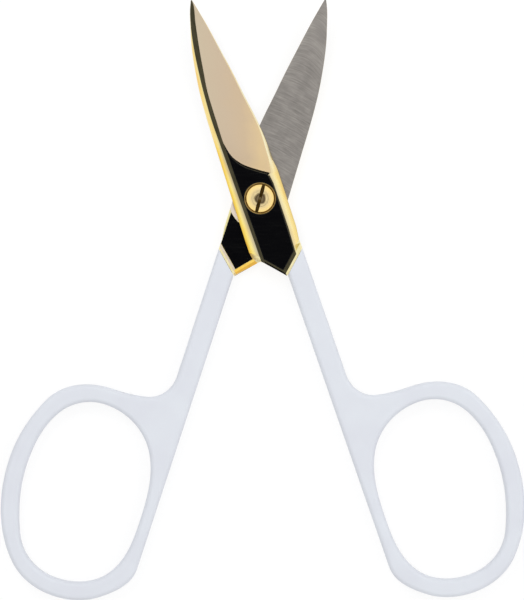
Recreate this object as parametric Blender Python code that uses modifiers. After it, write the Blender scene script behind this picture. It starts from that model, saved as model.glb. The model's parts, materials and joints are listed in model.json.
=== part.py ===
"""Nail scissors: two forged halves that turn on a slotted screw.

Each half is one forging: a pointed blade, a flat joint plate, a shank and a finger ring. A thin
coat covers the shank and ring, and lacquer fills shallow pockets in the joint plate. The scissors
lie flat, tips towards +Y, and are drawn as they rest: open. +Z points away from the table.

One half is modelled closed, in its own frame: the pivot axis is the origin, +Y points to the tip,
+X to the cutting edge, and +Z out of the outer face. Its mating face lies at z = 0. The front half
is that half turned open about the pivot. The rear half is the same half turned over.
"""
import math

import bpy
import bmesh
from mathutils import Matrix, Vector

MM = 0.001

# The whole tool, measured from the pivot axis along the closed scissors
BLADE_REACH = 28.9 * MM
HANDLE_REACH = 61.15 * MM
REST_OPENING = math.radians(37.3)

# The joint plate of one half
PLATE_WIDTH = 7.2 * MM
PLATE_THICKNESS = 1.5 * MM
PLATE_LIP = 0.35 * MM
SPINE_SLOPE_RUN = 0.88 * MM
SPINE_BEVEL_RUN = 0.42 * MM
SPINE_BEVEL_DROP = 0.2 * MM
EDGE_SLOPE_RUN = 1.08 * MM
EDGE_BEVEL_RUN = 0.22 * MM
EDGE_BEVEL_DROP = 0.1 * MM
RUNNING_GAP = 0.06 * MM

# The plate ends in a V that points down the shank: its free side meets the other half's step
V_ANGLE = math.radians(42.5)
V_HALF_WIDTH = 3.25 * MM
V_REACH = 11.1 * MM
V_LEAN = 0.5 * MM
V_STOP_GAP = 0.1 * MM
V_BEVEL_RUN = 0.35 * MM
V_BEVEL_DROP = 0.12 * MM
NECK_REACH = 5.2 * MM

# The blade, curved upward beyond its heel
BLADE_RISE = 2.4 * MM
BLADE_CURVE_START = 10.4 * MM
CUTTING_EDGE_THICKNESS = 0.1 * MM
SHOULDER_RUN = 0.12 * MM
BLADE_STATIONS = 13

# Shank and finger ring, as coated
HANDLE_THICKNESS = 2.9 * MM
HANDLE_EDGE_RADIUS = 0.65 * MM
SHANK_CLEARANCE = 0.17 * MM
SHANK_WIDTH = 3.1 * MM
RING_WIDTH = 21.57 * MM
RING_LENGTH = 29.75 * MM
RING_FILLET = 4.45 * MM
RING_BAND_OUTER = 2.54 * MM
RING_BAND_INNER = 1.73 * MM
RING_BAND_TOP = 2.36 * MM
RING_BAND_END = 2.45 * MM

# The coat on the steel, and the steel collar that stays bare above it
COAT_WALL = 0.3 * MM
COAT_GAP = 0.03 * MM
COLLAR_WIDTH = 0.22 * MM
COLLAR_RIM = 0.08 * MM

# Lacquer in the pockets of the outer and inner faces
LACQUER_THICKNESS = 0.15 * MM
LACQUER_GAP = 0.03 * MM
LACQUER_RIM = 0.08 * MM
INNER_LACQUER_THICKNESS = 0.12 * MM
INNER_LACQUER_V_RIM = 0.23 * MM
RIDE_RELIEF = 0.2 * MM
RIDE_RADIUS = 4.3 * MM
RIDE_START = math.radians(25)

# The screw, whose countersink leaves a web of lacquer on both sides
LACQUER_WEB = 0.1 * MM
COUNTERSINK_RUN = 0.14 * MM
COUNTERSINK_DEPTH = 0.18 * MM
SCREW_HEAD_HEIGHT = 0.8 * MM
SCREW_HEAD_PROUD = 0.06 * MM
SCREW_HEAD_CHAMFER = 0.12 * MM
SCREW_SHANK_DIAMETER = 2.2 * MM
SCREW_END_RECESS = 0.06 * MM
SCREW_GAP = 0.05 * MM
SLOT_WIDTH = 0.42 * MM
SLOT_DEPTH = 0.4 * MM
SLOT_LEAN = math.radians(15.6)
DIMPLE_DIAMETER = 1.4 * MM
DIMPLE_DEPTH = 0.45 * MM

# How far a cut runs past the face it opens, and how finely round shapes are cut into flats
OVERRUN = 1.0 * MM
ARC_STEPS = 6
EDGE_STEPS = 1
ROUND_STEPS = 36
RIDE_ARC_STEPS = 14
STRAIGHT_LIMIT = math.radians(1)
SMOOTH_LIMIT = math.radians(30)
MERGE_DISTANCE = 0.0005 * MM

# Sizes that follow from those above
HALF_WIDTH = PLATE_WIDTH / 2
FACE_LEFT = -HALF_WIDTH + SPINE_SLOPE_RUN + SPINE_BEVEL_RUN
FACE_RIGHT = HALF_WIDTH - EDGE_SLOPE_RUN - EDGE_BEVEL_RUN
STEP_REACH = V_REACH - V_LEAN
V_RISE = math.tan(V_ANGLE)
COAT_REACH = V_REACH + COLLAR_WIDTH / math.cos(V_ANGLE)
COUNTERSINK_RADIUS = min(-FACE_LEFT, FACE_RIGHT) - LACQUER_RIM - LACQUER_GAP - LACQUER_WEB
WELL_RADIUS = COUNTERSINK_RADIUS - COUNTERSINK_RUN
SCREW_HEAD_RADIUS = WELL_RADIUS - SCREW_GAP
MATING_HEIGHT = PLATE_THICKNESS + RUNNING_GAP / 2
HALF_OPENING = REST_OPENING / 2

# The blade's outline: (share of the reach, share of the plate's half width)
SPINE_SHARES = [(0.0, 1.0), (0.3, 0.975), (0.436, 0.942), (0.554, 0.88), (0.671, 0.76),
                (0.785, 0.592), (0.896, 0.345), (0.952, 0.2), (1.0, 0.03)]
EDGE_SHARES = [(0.112, 1.0), (0.155, 0.957), (0.25, 0.948), (0.36, 0.872), (0.486, 0.728),
               (0.614, 0.586), (0.742, 0.419), (0.872, 0.239), (0.938, 0.13), (1.0, 0.02)]

# The flat band along the spine: (share of the reach, share of the blade's width there)
BAND_OUTER_SHARES = [(0.31, 0.1), (0.436, 0.087), (0.554, 0.095), (0.671, 0.093), (0.785, 0.08),
                     (0.896, 0.03), (1.0, 0.02)]
BAND_INNER_SHARES = [(0.31, 0.172), (0.436, 0.179), (0.554, 0.19), (0.671, 0.238), (0.785, 0.3),
                     (0.896, 0.39), (0.952, 0.6), (0.975, 0.75), (1.0, 0.85)]

# The bevel beside the cutting edge, the ground face's height at it and the spine's thickness:
# (share of the reach, share of the blade's width, or of the plate's thickness)
EDGE_BEVEL_SHARES = [(0.112, 0.155), (0.155, 0.138), (0.25, 0.083), (0.36, 0.035), (1.0, 0.03)]
GROUND_HEIGHT_SHARES = [(0.112, 0.8), (0.155, 0.68), (0.25, 0.36), (0.36, 0.05), (0.45, 0.03),
                        (1.0, 0.03)]
THICKNESS_SHARES = [(0.31, 1.0), (0.5, 0.9), (0.7, 0.74), (0.85, 0.58), (0.95, 0.42), (1.0, 0.3)]

# Where the grinding stops on the spine and on the edge side, as shares of the reach
SHOULDER_SPINE_SHARE = 0.308
SHOULDER_EDGE_SHARE = 0.112
# The shoulder's curve between them: (share across the ground face, share of the fall)
SHOULDER_CURVE_SHARES = [(0.086, 0.309), (0.305, 0.58), (0.65, 0.81)]
# How fast the rows of the blade turn from the shoulder's slant and curve to straight across
SLANT_FADE_POWER = 2.5
CURVE_FADE_POWER = 3
# The points of the ground face among those of a row, from the spine band to the edge bevel
GROUND_POINTS = slice(4, 8)

# The finger ring's outlines: (share across, share up, heading in degrees)
RING_OUTLINE_SHARES = [(0.0, 0.24, -90), (0.166, 0.0655, -37), (0.456, 0.0, 0), (0.776, 0.091, 46),
                       (1.0, 0.54, 90), (0.8915, 0.857, 117), (0.516, 1.0, 180),
                       (0.284, 1.015, 167)]
FINGER_HOLE_SHARES = [(0.0, 0.441, 90), (0.0925, 0.814, 62), (0.555, 1.0, 0), (0.8815, 0.878, -56),
                      (1.0, 0.545, -90), (0.876, 0.1665, -114), (0.4885, 0.0, 180),
                      (0.0925, 0.1305, 123)]


def clear_scene():
    for item in list(bpy.data.objects):
        bpy.data.objects.remove(item, do_unlink=True)


def new_collection(name, parent=None):
    collection = bpy.data.collections.new(name)
    (parent or bpy.context.scene.collection).children.link(collection)
    return collection


def new_material(name, colour, metallic, roughness):
    material = bpy.data.materials.new(name)
    material.use_nodes = True
    shader = material.node_tree.nodes["Principled BSDF"]
    shader.inputs["Base Color"].default_value = (*colour, 1.0)
    shader.inputs["Metallic"].default_value = metallic
    shader.inputs["Roughness"].default_value = roughness
    material.diffuse_color = (*colour, 1.0)
    return material


def mix(start, end, share):
    return start + (end - start) * share


def share_at(table, place):
    """Value of a table of shares at a place, on a smooth curve that never overshoots."""
    places = [row[0] for row in table]
    values = [row[1] for row in table]
    if place <= places[0]:
        return values[0]
    if place >= places[-1]:
        return values[-1]
    slopes = [(values[i + 1] - values[i]) / (places[i + 1] - places[i])
              for i in range(len(table) - 1)]
    tangents = [slopes[0]]
    for before, after in zip(slopes, slopes[1:]):
        rising_together = before * after > 0
        tangents.append(2 * before * after / (before + after) if rising_together else 0)
    tangents.append(slopes[-1])
    i = max(k for k in range(len(table) - 1) if places[k] <= place)
    span = places[i + 1] - places[i]
    t = (place - places[i]) / span
    rise = t * t * (3 - 2 * t)
    leave = t * (1 - t) * (1 - t) * span * tangents[i]
    arrive = t * t * (t - 1) * span * tangents[i + 1]
    return mix(values[i], values[i + 1], rise) + leave + arrive


def arc_points(start, end, steps):
    """Points from one (x, y, heading) to before the next, close to a circular arc."""
    chord = math.hypot(end[0] - start[0], end[1] - start[1])
    first, last = math.radians(start[2]), math.radians(end[2])
    turn = abs(math.remainder(last - first, math.tau))
    bent = turn > STRAIGHT_LIMIT
    pull = chord * (2 * math.tan(turn / 4) / math.sin(turn / 2) if bent else 1)
    points = []
    for step in range(steps if bent else 1):
        t = step / steps
        rise = t * t * (3 - 2 * t)
        leave, arrive = t * (1 - t) * (1 - t) * pull, t * t * (t - 1) * pull
        points.append((mix(start[0], end[0], rise) + leave * math.cos(first)
                       + arrive * math.cos(last),
                       mix(start[1], end[1], rise) + leave * math.sin(first)
                       + arrive * math.sin(last)))
    return points


def handle_outline():
    """The shank and ring's outline, run up past the place where the coat ends."""
    left, right = SHANK_CLEARANCE, SHANK_CLEARANCE + RING_WIDTH
    ring_end, ring_top = -HANDLE_REACH, -HANDLE_REACH + RING_LENGTH
    shank_edge = SHANK_CLEARANCE + SHANK_WIDTH
    nodes = [(left, -STEP_REACH, -90)]
    nodes += [(mix(left, right, across), mix(ring_end, ring_top, up), heading)
              for across, up, heading in RING_OUTLINE_SHARES]
    nodes += [(shank_edge, ring_top + RING_FILLET, 90), (shank_edge, -NECK_REACH, 90)]
    points = []
    for start, end in zip(nodes, nodes[1:]):
        points += arc_points(start, end, ARC_STEPS)
    return points + [(shank_edge, -NECK_REACH), (left, -NECK_REACH)]


def finger_hole_outline():
    left = SHANK_CLEARANCE + RING_BAND_INNER
    right = SHANK_CLEARANCE + RING_WIDTH - RING_BAND_OUTER
    low = -HANDLE_REACH + RING_BAND_END
    high = -HANDLE_REACH + RING_LENGTH - RING_BAND_TOP
    nodes = [(mix(left, right, across), mix(low, high, up), heading)
             for across, up, heading in FINGER_HOLE_SHARES]
    points = []
    for start, end in zip(nodes, nodes[1:] + nodes[:1]):
        points += arc_points(start, end, ARC_STEPS)
    return points


def mesh_object(name, mesh, collection, parent, material=None):
    item = bpy.data.objects.new(name, mesh)
    collection.objects.link(item)
    item.parent = parent
    if material:
        mesh.materials.append(material)
    return item


def as_cutter(item):
    item.hide_render = True
    item.display_type = 'WIRE'
    return item


def flat_mesh(name, outlines, low, high, edge_radius=0.0, shrink=0.0):
    """A plate between two heights from closed outlines, as a welded mesh."""
    curve = bpy.data.curves.new(name, 'CURVE')
    curve.dimensions = '2D'
    curve.fill_mode = 'BOTH'
    curve.extrude = (high - low) / 2 - edge_radius
    curve.bevel_depth = edge_radius
    curve.bevel_resolution = EDGE_STEPS
    curve.offset = -(edge_radius + shrink)
    for points in outlines:
        spline = curve.splines.new('POLY')
        spline.points.add(len(points) - 1)
        for node, (x, y) in zip(spline.points, points):
            node.co = (x, y, 0, 1)
        spline.use_cyclic_u = True
    item = bpy.data.objects.new(name, curve)
    bpy.context.scene.collection.objects.link(item)
    item.location.z = (low + high) / 2
    bpy.context.view_layer.update()
    evaluated = item.evaluated_get(bpy.context.evaluated_depsgraph_get())
    mesh = bpy.data.meshes.new_from_object(evaluated)
    mesh.transform(item.matrix_world)
    bpy.data.objects.remove(item, do_unlink=True)
    return welded(mesh)


def welded(mesh):
    work = bmesh.new()
    work.from_mesh(mesh)
    bmesh.ops.remove_doubles(work, verts=work.verts, dist=MERGE_DISTANCE)
    bmesh.ops.recalc_face_normals(work, faces=work.faces)
    work.to_mesh(mesh)
    work.free()
    return mesh


def boolean(item, tools, operation='DIFFERENCE'):
    """Joins or cuts an object with another, or with a whole collection at once."""
    modifier = item.modifiers.new(f"{operation.title()} {tools.name}", 'BOOLEAN')
    modifier.operation = operation
    if isinstance(tools, bpy.types.Collection):
        modifier.operand_type = 'COLLECTION'
        modifier.collection = tools
    else:
        modifier.object = tools
    return modifier


def blade_lift(x, y):
    """The blade's upward curve: a surface turned about the pivot, so two blades never meet."""
    past = max(0.0, math.hypot(x, y) - BLADE_CURVE_START)
    span = BLADE_REACH - BLADE_CURVE_START
    return BLADE_RISE * (past / span) ** 2


def plate_section(width_share, top_drop):
    """(x, z) round the joint plate, from the spine's foot over the top to the middle below."""
    top = PLATE_THICKNESS - top_drop
    section = [(-HALF_WIDTH, 0), (-HALF_WIDTH, PLATE_LIP),
               (-HALF_WIDTH + SPINE_SLOPE_RUN, PLATE_THICKNESS - SPINE_BEVEL_DROP),
               (FACE_LEFT, top), (FACE_LEFT / 2, top), (0, top), (FACE_RIGHT / 2, top),
               (FACE_RIGHT, top),
               (FACE_RIGHT + EDGE_BEVEL_RUN, PLATE_THICKNESS - EDGE_BEVEL_DROP),
               (HALF_WIDTH, PLATE_LIP), (HALF_WIDTH, 0), (0, 0)]
    return [(x * width_share, min(z, top)) for x, z in section]


def plate_rows():
    """Rows of the joint plate: the V's wall, its bevel, the neck and the shoulder's foot."""
    narrow = V_HALF_WIDTH / HALF_WIDTH
    lean = V_LEAN - V_STOP_GAP
    wall = [Vector((x, abs(x) * V_RISE - V_REACH + lean * (1 - z / PLATE_THICKNESS), z))
            for x, z in plate_section(narrow, V_BEVEL_DROP)]
    bevel = [Vector((x, foot.y + V_BEVEL_RUN, z))
             for foot, (x, z) in zip(wall, plate_section(narrow, 0))]
    neck = [Vector((x, -NECK_REACH, z)) for x, z in plate_section(1, 0)]
    shoulder = [Vector((point.x, point.y - SHOULDER_RUN, z))
                for point, (_, z) in zip(blade_row(0, 1), plate_section(1, 0))]
    return [wall, bevel, neck, shoulder]


def blade_row(station, rise_sign):
    """One row across the blade, slanted at the shoulder and square near the tip."""
    along = station / BLADE_STATIONS
    spine_share = mix(SHOULDER_SPINE_SHARE, 1, along)
    slant = (SHOULDER_SPINE_SHARE - SHOULDER_EDGE_SHARE) * (1 - along) ** SLANT_FADE_POWER
    edge_share = spine_share - slant
    spine_y, edge_y = spine_share * BLADE_REACH, edge_share * BLADE_REACH
    spine_x = -share_at(SPINE_SHARES, spine_share) * HALF_WIDTH
    edge_x = share_at(EDGE_SHARES, edge_share) * HALF_WIDTH
    thickness = share_at(THICKNESS_SHARES, spine_share) * PLATE_THICKNESS
    ground = share_at(GROUND_HEIGHT_SHARES, edge_share)
    ground_low = mix(CUTTING_EDGE_THICKNESS, thickness, ground)
    lip = mix(CUTTING_EDGE_THICKNESS, PLATE_LIP, min(1, ground / GROUND_HEIGHT_SHARES[0][1]))
    band_outer = mix(spine_x, edge_x, share_at(BAND_OUTER_SHARES, spine_share))
    band_inner = mix(spine_x, edge_x, share_at(BAND_INNER_SHARES, spine_share))
    bevel_top = mix(edge_x, spine_x, share_at(EDGE_BEVEL_SHARES, edge_share))
    drop = SPINE_BEVEL_DROP / PLATE_THICKNESS
    points = [(spine_x, spine_y, 0), (spine_x, spine_y, thickness * PLATE_LIP / PLATE_THICKNESS),
              (band_outer, spine_y, thickness * (1 - drop)), (band_inner, spine_y, thickness)]
    fade = (1 - along) ** CURVE_FADE_POWER
    for i, (across, fall) in enumerate(SHOULDER_CURVE_SHARES):
        over = mix((i + 1) / (len(SHOULDER_CURVE_SHARES) + 1), across, fade)
        points.append((mix(band_inner, bevel_top, over),
                       mix(spine_y, edge_y, mix(over, fall, fade)),
                       mix(thickness, ground_low, over)))
    bevel_share = EDGE_BEVEL_RUN / (EDGE_BEVEL_RUN + EDGE_SLOPE_RUN)
    points += [(bevel_top, edge_y, ground_low),
               (mix(bevel_top, edge_x, bevel_share), edge_y, mix(ground_low, lip, bevel_share)),
               (edge_x, edge_y, lip), (edge_x, edge_y, 0),
               ((spine_x + edge_x) / 2, (spine_y + edge_y) / 2, 0)]
    return [Vector((x, y, z + rise_sign * blade_lift(x, y))) for x, y, z in points]


def plate_and_blade_mesh(name, rise_sign):
    """The half's plate and blade as one loft, from the V to the tip."""
    rows = plate_rows() + [blade_row(i, rise_sign) for i in range(BLADE_STATIONS + 1)]
    work = bmesh.new()
    grid = [[work.verts.new(point) for point in row] for row in rows]
    columns = len(grid[0])
    for near, far in zip(grid, grid[1:]):
        for i in range(columns):
            j = (i + 1) % columns
            work.faces.new((near[i], near[j], far[j], far[i]))
    middle_top, middle_low = 5, columns - 1
    wall = grid[0]
    work.faces.new(wall[:middle_top + 1] + [wall[middle_low]])
    work.faces.new(wall[middle_top:])
    work.faces.new(grid[-1])
    bmesh.ops.recalc_face_normals(work, faces=work.faces)
    mesh = bpy.data.meshes.new(name)
    work.to_mesh(mesh)
    work.free()
    return mesh


def cylinder_mesh(name, radius, low, high, top_radius=None):
    work = bmesh.new()
    bmesh.ops.create_cone(work, cap_ends=True, segments=ROUND_STEPS, radius1=radius,
                          radius2=top_radius or radius, depth=high - low,
                          matrix=Matrix.Translation((0, 0, (low + high) / 2)))
    mesh = bpy.data.meshes.new(name)
    work.to_mesh(mesh)
    work.free()
    return mesh


def slanted_cutter_mesh(name, profile):
    """A long bar along the V's right side, from a profile of (distance up from its line, z)."""
    mesh = flat_mesh(name, [profile], -HANDLE_REACH, HANDLE_REACH)
    stand = Matrix.Rotation(math.pi / 2, 4, 'X')
    turn = Matrix.Rotation(math.pi / 2, 4, 'Z')
    mesh.transform(Matrix.Translation((0, -COAT_REACH, 0))
                   @ Matrix.Rotation(V_ANGLE, 4, 'Z') @ turn @ stand)
    return welded(mesh)


def above_coat_cutter(name, lift):
    """Removes a handle above the line where the coat ends, raised by the given lift."""
    far, tall = HANDLE_REACH / 2, HANDLE_THICKNESS
    return slanted_cutter_mesh(name, [(lift, -tall), (far, -tall), (far, tall), (lift, tall)])


def collar_top_cutter(name):
    """Leaves a leaning step below the mating face, and a straight end above it."""
    far, tall = HANDLE_REACH / 2, HANDLE_THICKNESS
    step = (COAT_REACH - STEP_REACH) * math.cos(V_ANGLE)
    return slanted_cutter_mesh(name, [(step, tall), (step, 0),
                                      (COLLAR_RIM, -HANDLE_THICKNESS / 2),
                                      (COLLAR_RIM, -tall), (far, -tall), (far, tall)])


def below_coat_cutter(name):
    far, tall = HANDLE_REACH, HANDLE_THICKNESS
    return slanted_cutter_mesh(name, [(0, tall), (0, -tall), (-far, -tall), (-far, tall)])


def handle_mesh(name, shrink):
    """The shank and ring at their coated size, or shrunk evenly on every side."""
    half = HANDLE_THICKNESS / 2 - shrink
    middle = -RUNNING_GAP / 2
    radius = max(HANDLE_EDGE_RADIUS - shrink, HANDLE_EDGE_RADIUS / 2)
    return flat_mesh(name, [handle_outline(), finger_hole_outline()],
                     middle - half, middle + half, radius, shrink)


def arc_below_pivot(radius, first):
    """Points round the lower side of the pivot, from an angle under level to the same again."""
    turns = [math.pi + mix(first, math.pi - first, i / RIDE_ARC_STEPS)
             for i in range(RIDE_ARC_STEPS + 1)]
    return [(radius * math.cos(turn), radius * math.sin(turn)) for turn in turns]


def ride_relief_outline():
    """The mating face beyond the round ride, down to the V's step and the free side's edge."""
    edge = HALF_WIDTH + OVERRUN
    arc = arc_below_pivot(RIDE_RADIUS, RIDE_START)
    top = arc[0][1]
    inner = SHANK_CLEARANCE
    return ([(-edge, top)] + arc + [(edge, top), (edge, edge * V_RISE - STEP_REACH),
            (inner, inner * V_RISE - STEP_REACH), (0, -V_REACH - OVERRUN),
            (-edge, -V_REACH - OVERRUN)])


def inner_lacquer_outline():
    """The black field on the mating face, inside the relief and clear of the V's step."""
    side = V_HALF_WIDTH - LACQUER_RIM
    radius = RIDE_RADIUS + LACQUER_RIM
    reach = STEP_REACH - INNER_LACQUER_V_RIM / math.cos(V_ANGLE)
    arc = arc_below_pivot(radius, math.acos(min(1, side / radius)))
    return arc + [(side, side * V_RISE - reach), (0, -reach), (-side, side * V_RISE - reach)]


def outer_lacquer_outline(grow):
    """The black field on the outer face, up to the shoulder of the ground blade."""
    inset = LACQUER_RIM - grow
    narrow = V_HALF_WIDTH / HALF_WIDTH
    left, right = FACE_LEFT + inset, FACE_RIGHT - inset
    low_left, low_right = FACE_LEFT * narrow + inset, FACE_RIGHT * narrow - inset
    reach = V_REACH - V_BEVEL_RUN - inset / math.cos(V_ANGLE)
    shoulder = blade_row(0, 1)[GROUND_POINTS]
    fall = SHOULDER_RUN + inset * 2
    top = [(min(point.x, right), point.y - fall) for point in reversed(shoulder)]
    return ([(low_left, -low_left * V_RISE - reach), (0, -reach),
             (low_right, low_right * V_RISE - reach), (right, -NECK_REACH)]
            + top + [(left, top[-1][1]), (left, -NECK_REACH)])


def build_half(side, rise_sign, frame, body, tools, looks):
    """One forging with its coat and its two fields of lacquer."""
    joined = new_collection(f"{side}_joined", tools)
    cuts = new_collection(f"{side}_cuts", tools)

    def tool(name, mesh, collection=tools):
        return as_cutter(mesh_object(f"{side}_{name}", mesh, collection, frame))

    steel = mesh_object(f"{side}_half", plate_and_blade_mesh(f"{side}_half", rise_sign), body,
                        frame, looks["steel"])
    collar = tool("collar", handle_mesh("collar", 0), joined)
    boolean(collar, tool("collar_top_cut", collar_top_cutter("collar_top_cut")))
    boolean(collar, tool("collar_end_cut", below_coat_cutter("collar_end_cut")))
    core = tool("core", handle_mesh("core", COAT_WALL + COAT_GAP), joined)
    boolean(core, tool("core_top_cut", above_coat_cutter("core_top_cut", COLLAR_RIM / 2)))
    boolean(steel, joined, 'UNION')

    tool("relief", flat_mesh("relief", [ride_relief_outline()], -RIDE_RELIEF, RIDE_RELIEF), cuts)
    tool("pocket", flat_mesh("pocket", [outer_lacquer_outline(LACQUER_GAP)],
                             PLATE_THICKNESS - LACQUER_THICKNESS - LACQUER_GAP,
                             PLATE_THICKNESS + OVERRUN), cuts)
    boolean(steel, cuts)

    coat = mesh_object(f"{side}_handle_coat", handle_mesh("coat", 0), body, frame, looks["coat"])
    boolean(coat, tool("coat_hollow", handle_mesh("coat_hollow", COAT_WALL)))
    boolean(coat, tool("coat_top_cut", above_coat_cutter("coat_top_cut", -COAT_GAP)))

    lacquer = flat_mesh("lacquer", [outer_lacquer_outline(0)],
                        PLATE_THICKNESS - LACQUER_THICKNESS, PLATE_THICKNESS)
    lacquer = mesh_object(f"{side}_lacquer", lacquer, body, frame, looks["lacquer"])
    inner_top = RIDE_RELIEF - LACQUER_GAP
    inner = flat_mesh("inner_lacquer", [inner_lacquer_outline()],
                      inner_top - INNER_LACQUER_THICKNESS, inner_top)
    mesh_object(f"{side}_inner_lacquer", inner, body, frame, looks["lacquer"])
    return lacquer, cuts, tool


def drill(lacquer, cuts, tool, rim_radius, steps):
    """Round steps, each (radius, low, high, top radius), through a half and its lacquer."""
    for i, (radius, low, high, top_radius) in enumerate(steps):
        tool(f"bore_{i}", cylinder_mesh(f"bore_{i}", radius, low, high, top_radius), cuts)
    rim = cylinder_mesh("lacquer_bore", rim_radius, 0, PLATE_THICKNESS + OVERRUN)
    boolean(lacquer, tool("lacquer_bore", rim))


def build_screw(frame, body, tools, looks):
    """The slotted screw: a low head, a plain neck and an end flush with the rear half."""
    head, neck = SCREW_HEAD_RADIUS, SCREW_SHANK_DIAMETER / 2
    top = RUNNING_GAP / 2 + PLATE_THICKNESS + SCREW_HEAD_PROUD
    under = top - SCREW_HEAD_HEIGHT
    end = -MATING_HEIGHT + SCREW_END_RECESS
    profile = [(0, top - DIMPLE_DEPTH), (DIMPLE_DIAMETER / 2, top), (head - SCREW_HEAD_CHAMFER, top),
               (head, top - SCREW_HEAD_CHAMFER), (head, under), (neck, under), (neck, end),
               (0, end)]
    mesh = bpy.data.meshes.new("pivot_screw")
    mesh.from_pydata([(x, 0, z) for x, z in profile],
                     [(i, i + 1) for i in range(len(profile) - 1)], [])
    screw = mesh_object("pivot_screw", mesh, body, frame, looks["screw"])
    turned = screw.modifiers.new("Turned", 'SCREW')
    turned.steps = turned.render_steps = ROUND_STEPS
    turned.use_merge_vertices = True
    turned.merge_threshold = MERGE_DISTANCE
    across, aside = head + OVERRUN, SLOT_WIDTH / 2
    slot = flat_mesh("slot", [[(-across, -aside), (across, -aside), (across, aside),
                               (-across, aside)]], top - SLOT_DEPTH, top + OVERRUN)
    slot = as_cutter(mesh_object("slot", slot, tools, frame))
    slot.rotation_euler.z = math.pi / 2 - SLOT_LEAN
    boolean(screw, slot)


def middle_of_reach(items):
    """The middle, along Y, of everything built so far."""
    bpy.context.view_layer.update()
    graph = bpy.context.evaluated_depsgraph_get()
    heights = []
    for item in items:
        placed = item.evaluated_get(graph)
        heights += [(placed.matrix_world @ vertex.co).y for vertex in placed.data.vertices]
    return (min(heights) + max(heights)) / 2


def main():
    clear_scene()
    body = new_collection("nail_scissors")
    tools = new_collection("cutters")
    looks = {"steel": new_material("gold_plated_steel", (0.83, 0.6, 0.25), 1.0, 0.25),
             "screw": new_material("gold_plated_screw", (0.86, 0.66, 0.32), 1.0, 0.2),
             "coat": new_material("white_soft_coat", (0.75, 0.77, 0.82), 0.0, 0.45),
             "lacquer": new_material("black_lacquer", (0.004, 0.004, 0.004), 0.0, 0.12)}

    pivot = bpy.data.objects.new("pivot_axis", None)
    body.objects.link(pivot)
    pivot.location.z = MATING_HEIGHT
    frames = {}
    for side, turn, lean in (("front", 0, HALF_OPENING), ("rear", math.pi, -HALF_OPENING)):
        frames[side] = bpy.data.objects.new(f"{side}_frame", None)
        body.objects.link(frames[side])
        frames[side].parent = pivot
        frames[side].rotation_euler = (0, turn, lean)
        frames[side].location.z = math.copysign(RUNNING_GAP / 2, math.cos(turn))

    front = build_half("front", 1, frames["front"], body, tools, looks)
    rear = build_half("rear", -1, frames["rear"], body, tools, looks)

    bore = SCREW_SHANK_DIAMETER / 2 + SCREW_GAP
    well_floor = PLATE_THICKNESS + SCREW_HEAD_PROUD - SCREW_HEAD_HEIGHT - SCREW_GAP
    mouth_slope = COUNTERSINK_RUN / COUNTERSINK_DEPTH
    drill(*front, COUNTERSINK_RADIUS + LACQUER_GAP,
          [(bore, -OVERRUN, PLATE_THICKNESS + OVERRUN, None),
           (WELL_RADIUS, well_floor, PLATE_THICKNESS + OVERRUN, None),
           (WELL_RADIUS, PLATE_THICKNESS - COUNTERSINK_DEPTH, PLATE_THICKNESS + OVERRUN,
            COUNTERSINK_RADIUS + OVERRUN * mouth_slope)])
    drill(*rear, bore + LACQUER_RIM, [(bore, -OVERRUN, PLATE_THICKNESS + OVERRUN, None)])
    build_screw(pivot, body, tools, looks)

    pieces = [item for item in body.objects if item.type == 'MESH']
    pivot.location.y = -middle_of_reach(pieces)
    bpy.context.view_layer.update()
    for item in pieces:
        item.data.shade_smooth()
        item.data.set_sharp_from_angle(angle=SMOOTH_LIMIT)
    print(f"pivot axis at y = {pivot.location.y:.6f} m")


main()
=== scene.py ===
# %% [markdown]
# # Nail scissors
# Two forged halves turn on a slotted screw. Each half carries a ground blade, a joint plate with
# black lacquer sunk into its faces, and a finger ring under a satin white coat. This lesson dresses
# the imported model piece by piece. Every piece keeps its place, and its edges and finishes are drawn
# finer than the plain solids have them.

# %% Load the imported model
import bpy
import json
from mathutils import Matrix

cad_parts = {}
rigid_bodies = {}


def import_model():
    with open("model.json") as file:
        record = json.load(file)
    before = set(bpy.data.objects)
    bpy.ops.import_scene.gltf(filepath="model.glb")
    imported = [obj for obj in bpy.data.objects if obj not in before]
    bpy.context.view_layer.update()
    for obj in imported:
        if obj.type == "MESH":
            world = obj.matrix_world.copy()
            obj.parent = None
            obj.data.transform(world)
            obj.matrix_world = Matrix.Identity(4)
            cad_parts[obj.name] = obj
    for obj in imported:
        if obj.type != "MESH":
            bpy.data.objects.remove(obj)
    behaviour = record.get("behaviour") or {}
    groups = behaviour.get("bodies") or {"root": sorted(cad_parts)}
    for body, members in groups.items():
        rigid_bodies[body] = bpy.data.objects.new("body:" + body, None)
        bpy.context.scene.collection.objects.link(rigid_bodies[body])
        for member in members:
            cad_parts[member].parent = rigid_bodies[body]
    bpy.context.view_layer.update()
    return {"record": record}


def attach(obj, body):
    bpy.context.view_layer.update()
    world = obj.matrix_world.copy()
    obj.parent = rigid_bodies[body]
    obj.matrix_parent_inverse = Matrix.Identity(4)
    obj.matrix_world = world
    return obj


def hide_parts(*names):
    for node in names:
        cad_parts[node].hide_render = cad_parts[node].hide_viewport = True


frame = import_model()

import json
import math

import bmesh
import bpy
from mathutils import Matrix, Vector

MM = 0.001
hinge = frame["record"]["behaviour"]["joints"][0]
PIVOT = Vector(hinge["pos_m"])
print("hinge", hinge["name"], "at", tuple(round(value / MM, 3) for value in PIVOT), "mm")

# %% [markdown]
# ## Light
# Polished plating shows whatever stands round it, so it is photographed in a white tent with one
# small dark hole overhead, where the lens looks in. Faces that lie flat mirror that hole, and the
# black lacquer stays black. A background is the cheapest tent: one shader lights the piece evenly,
# and Light Path lets the camera and the reflections see plain white.

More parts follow.
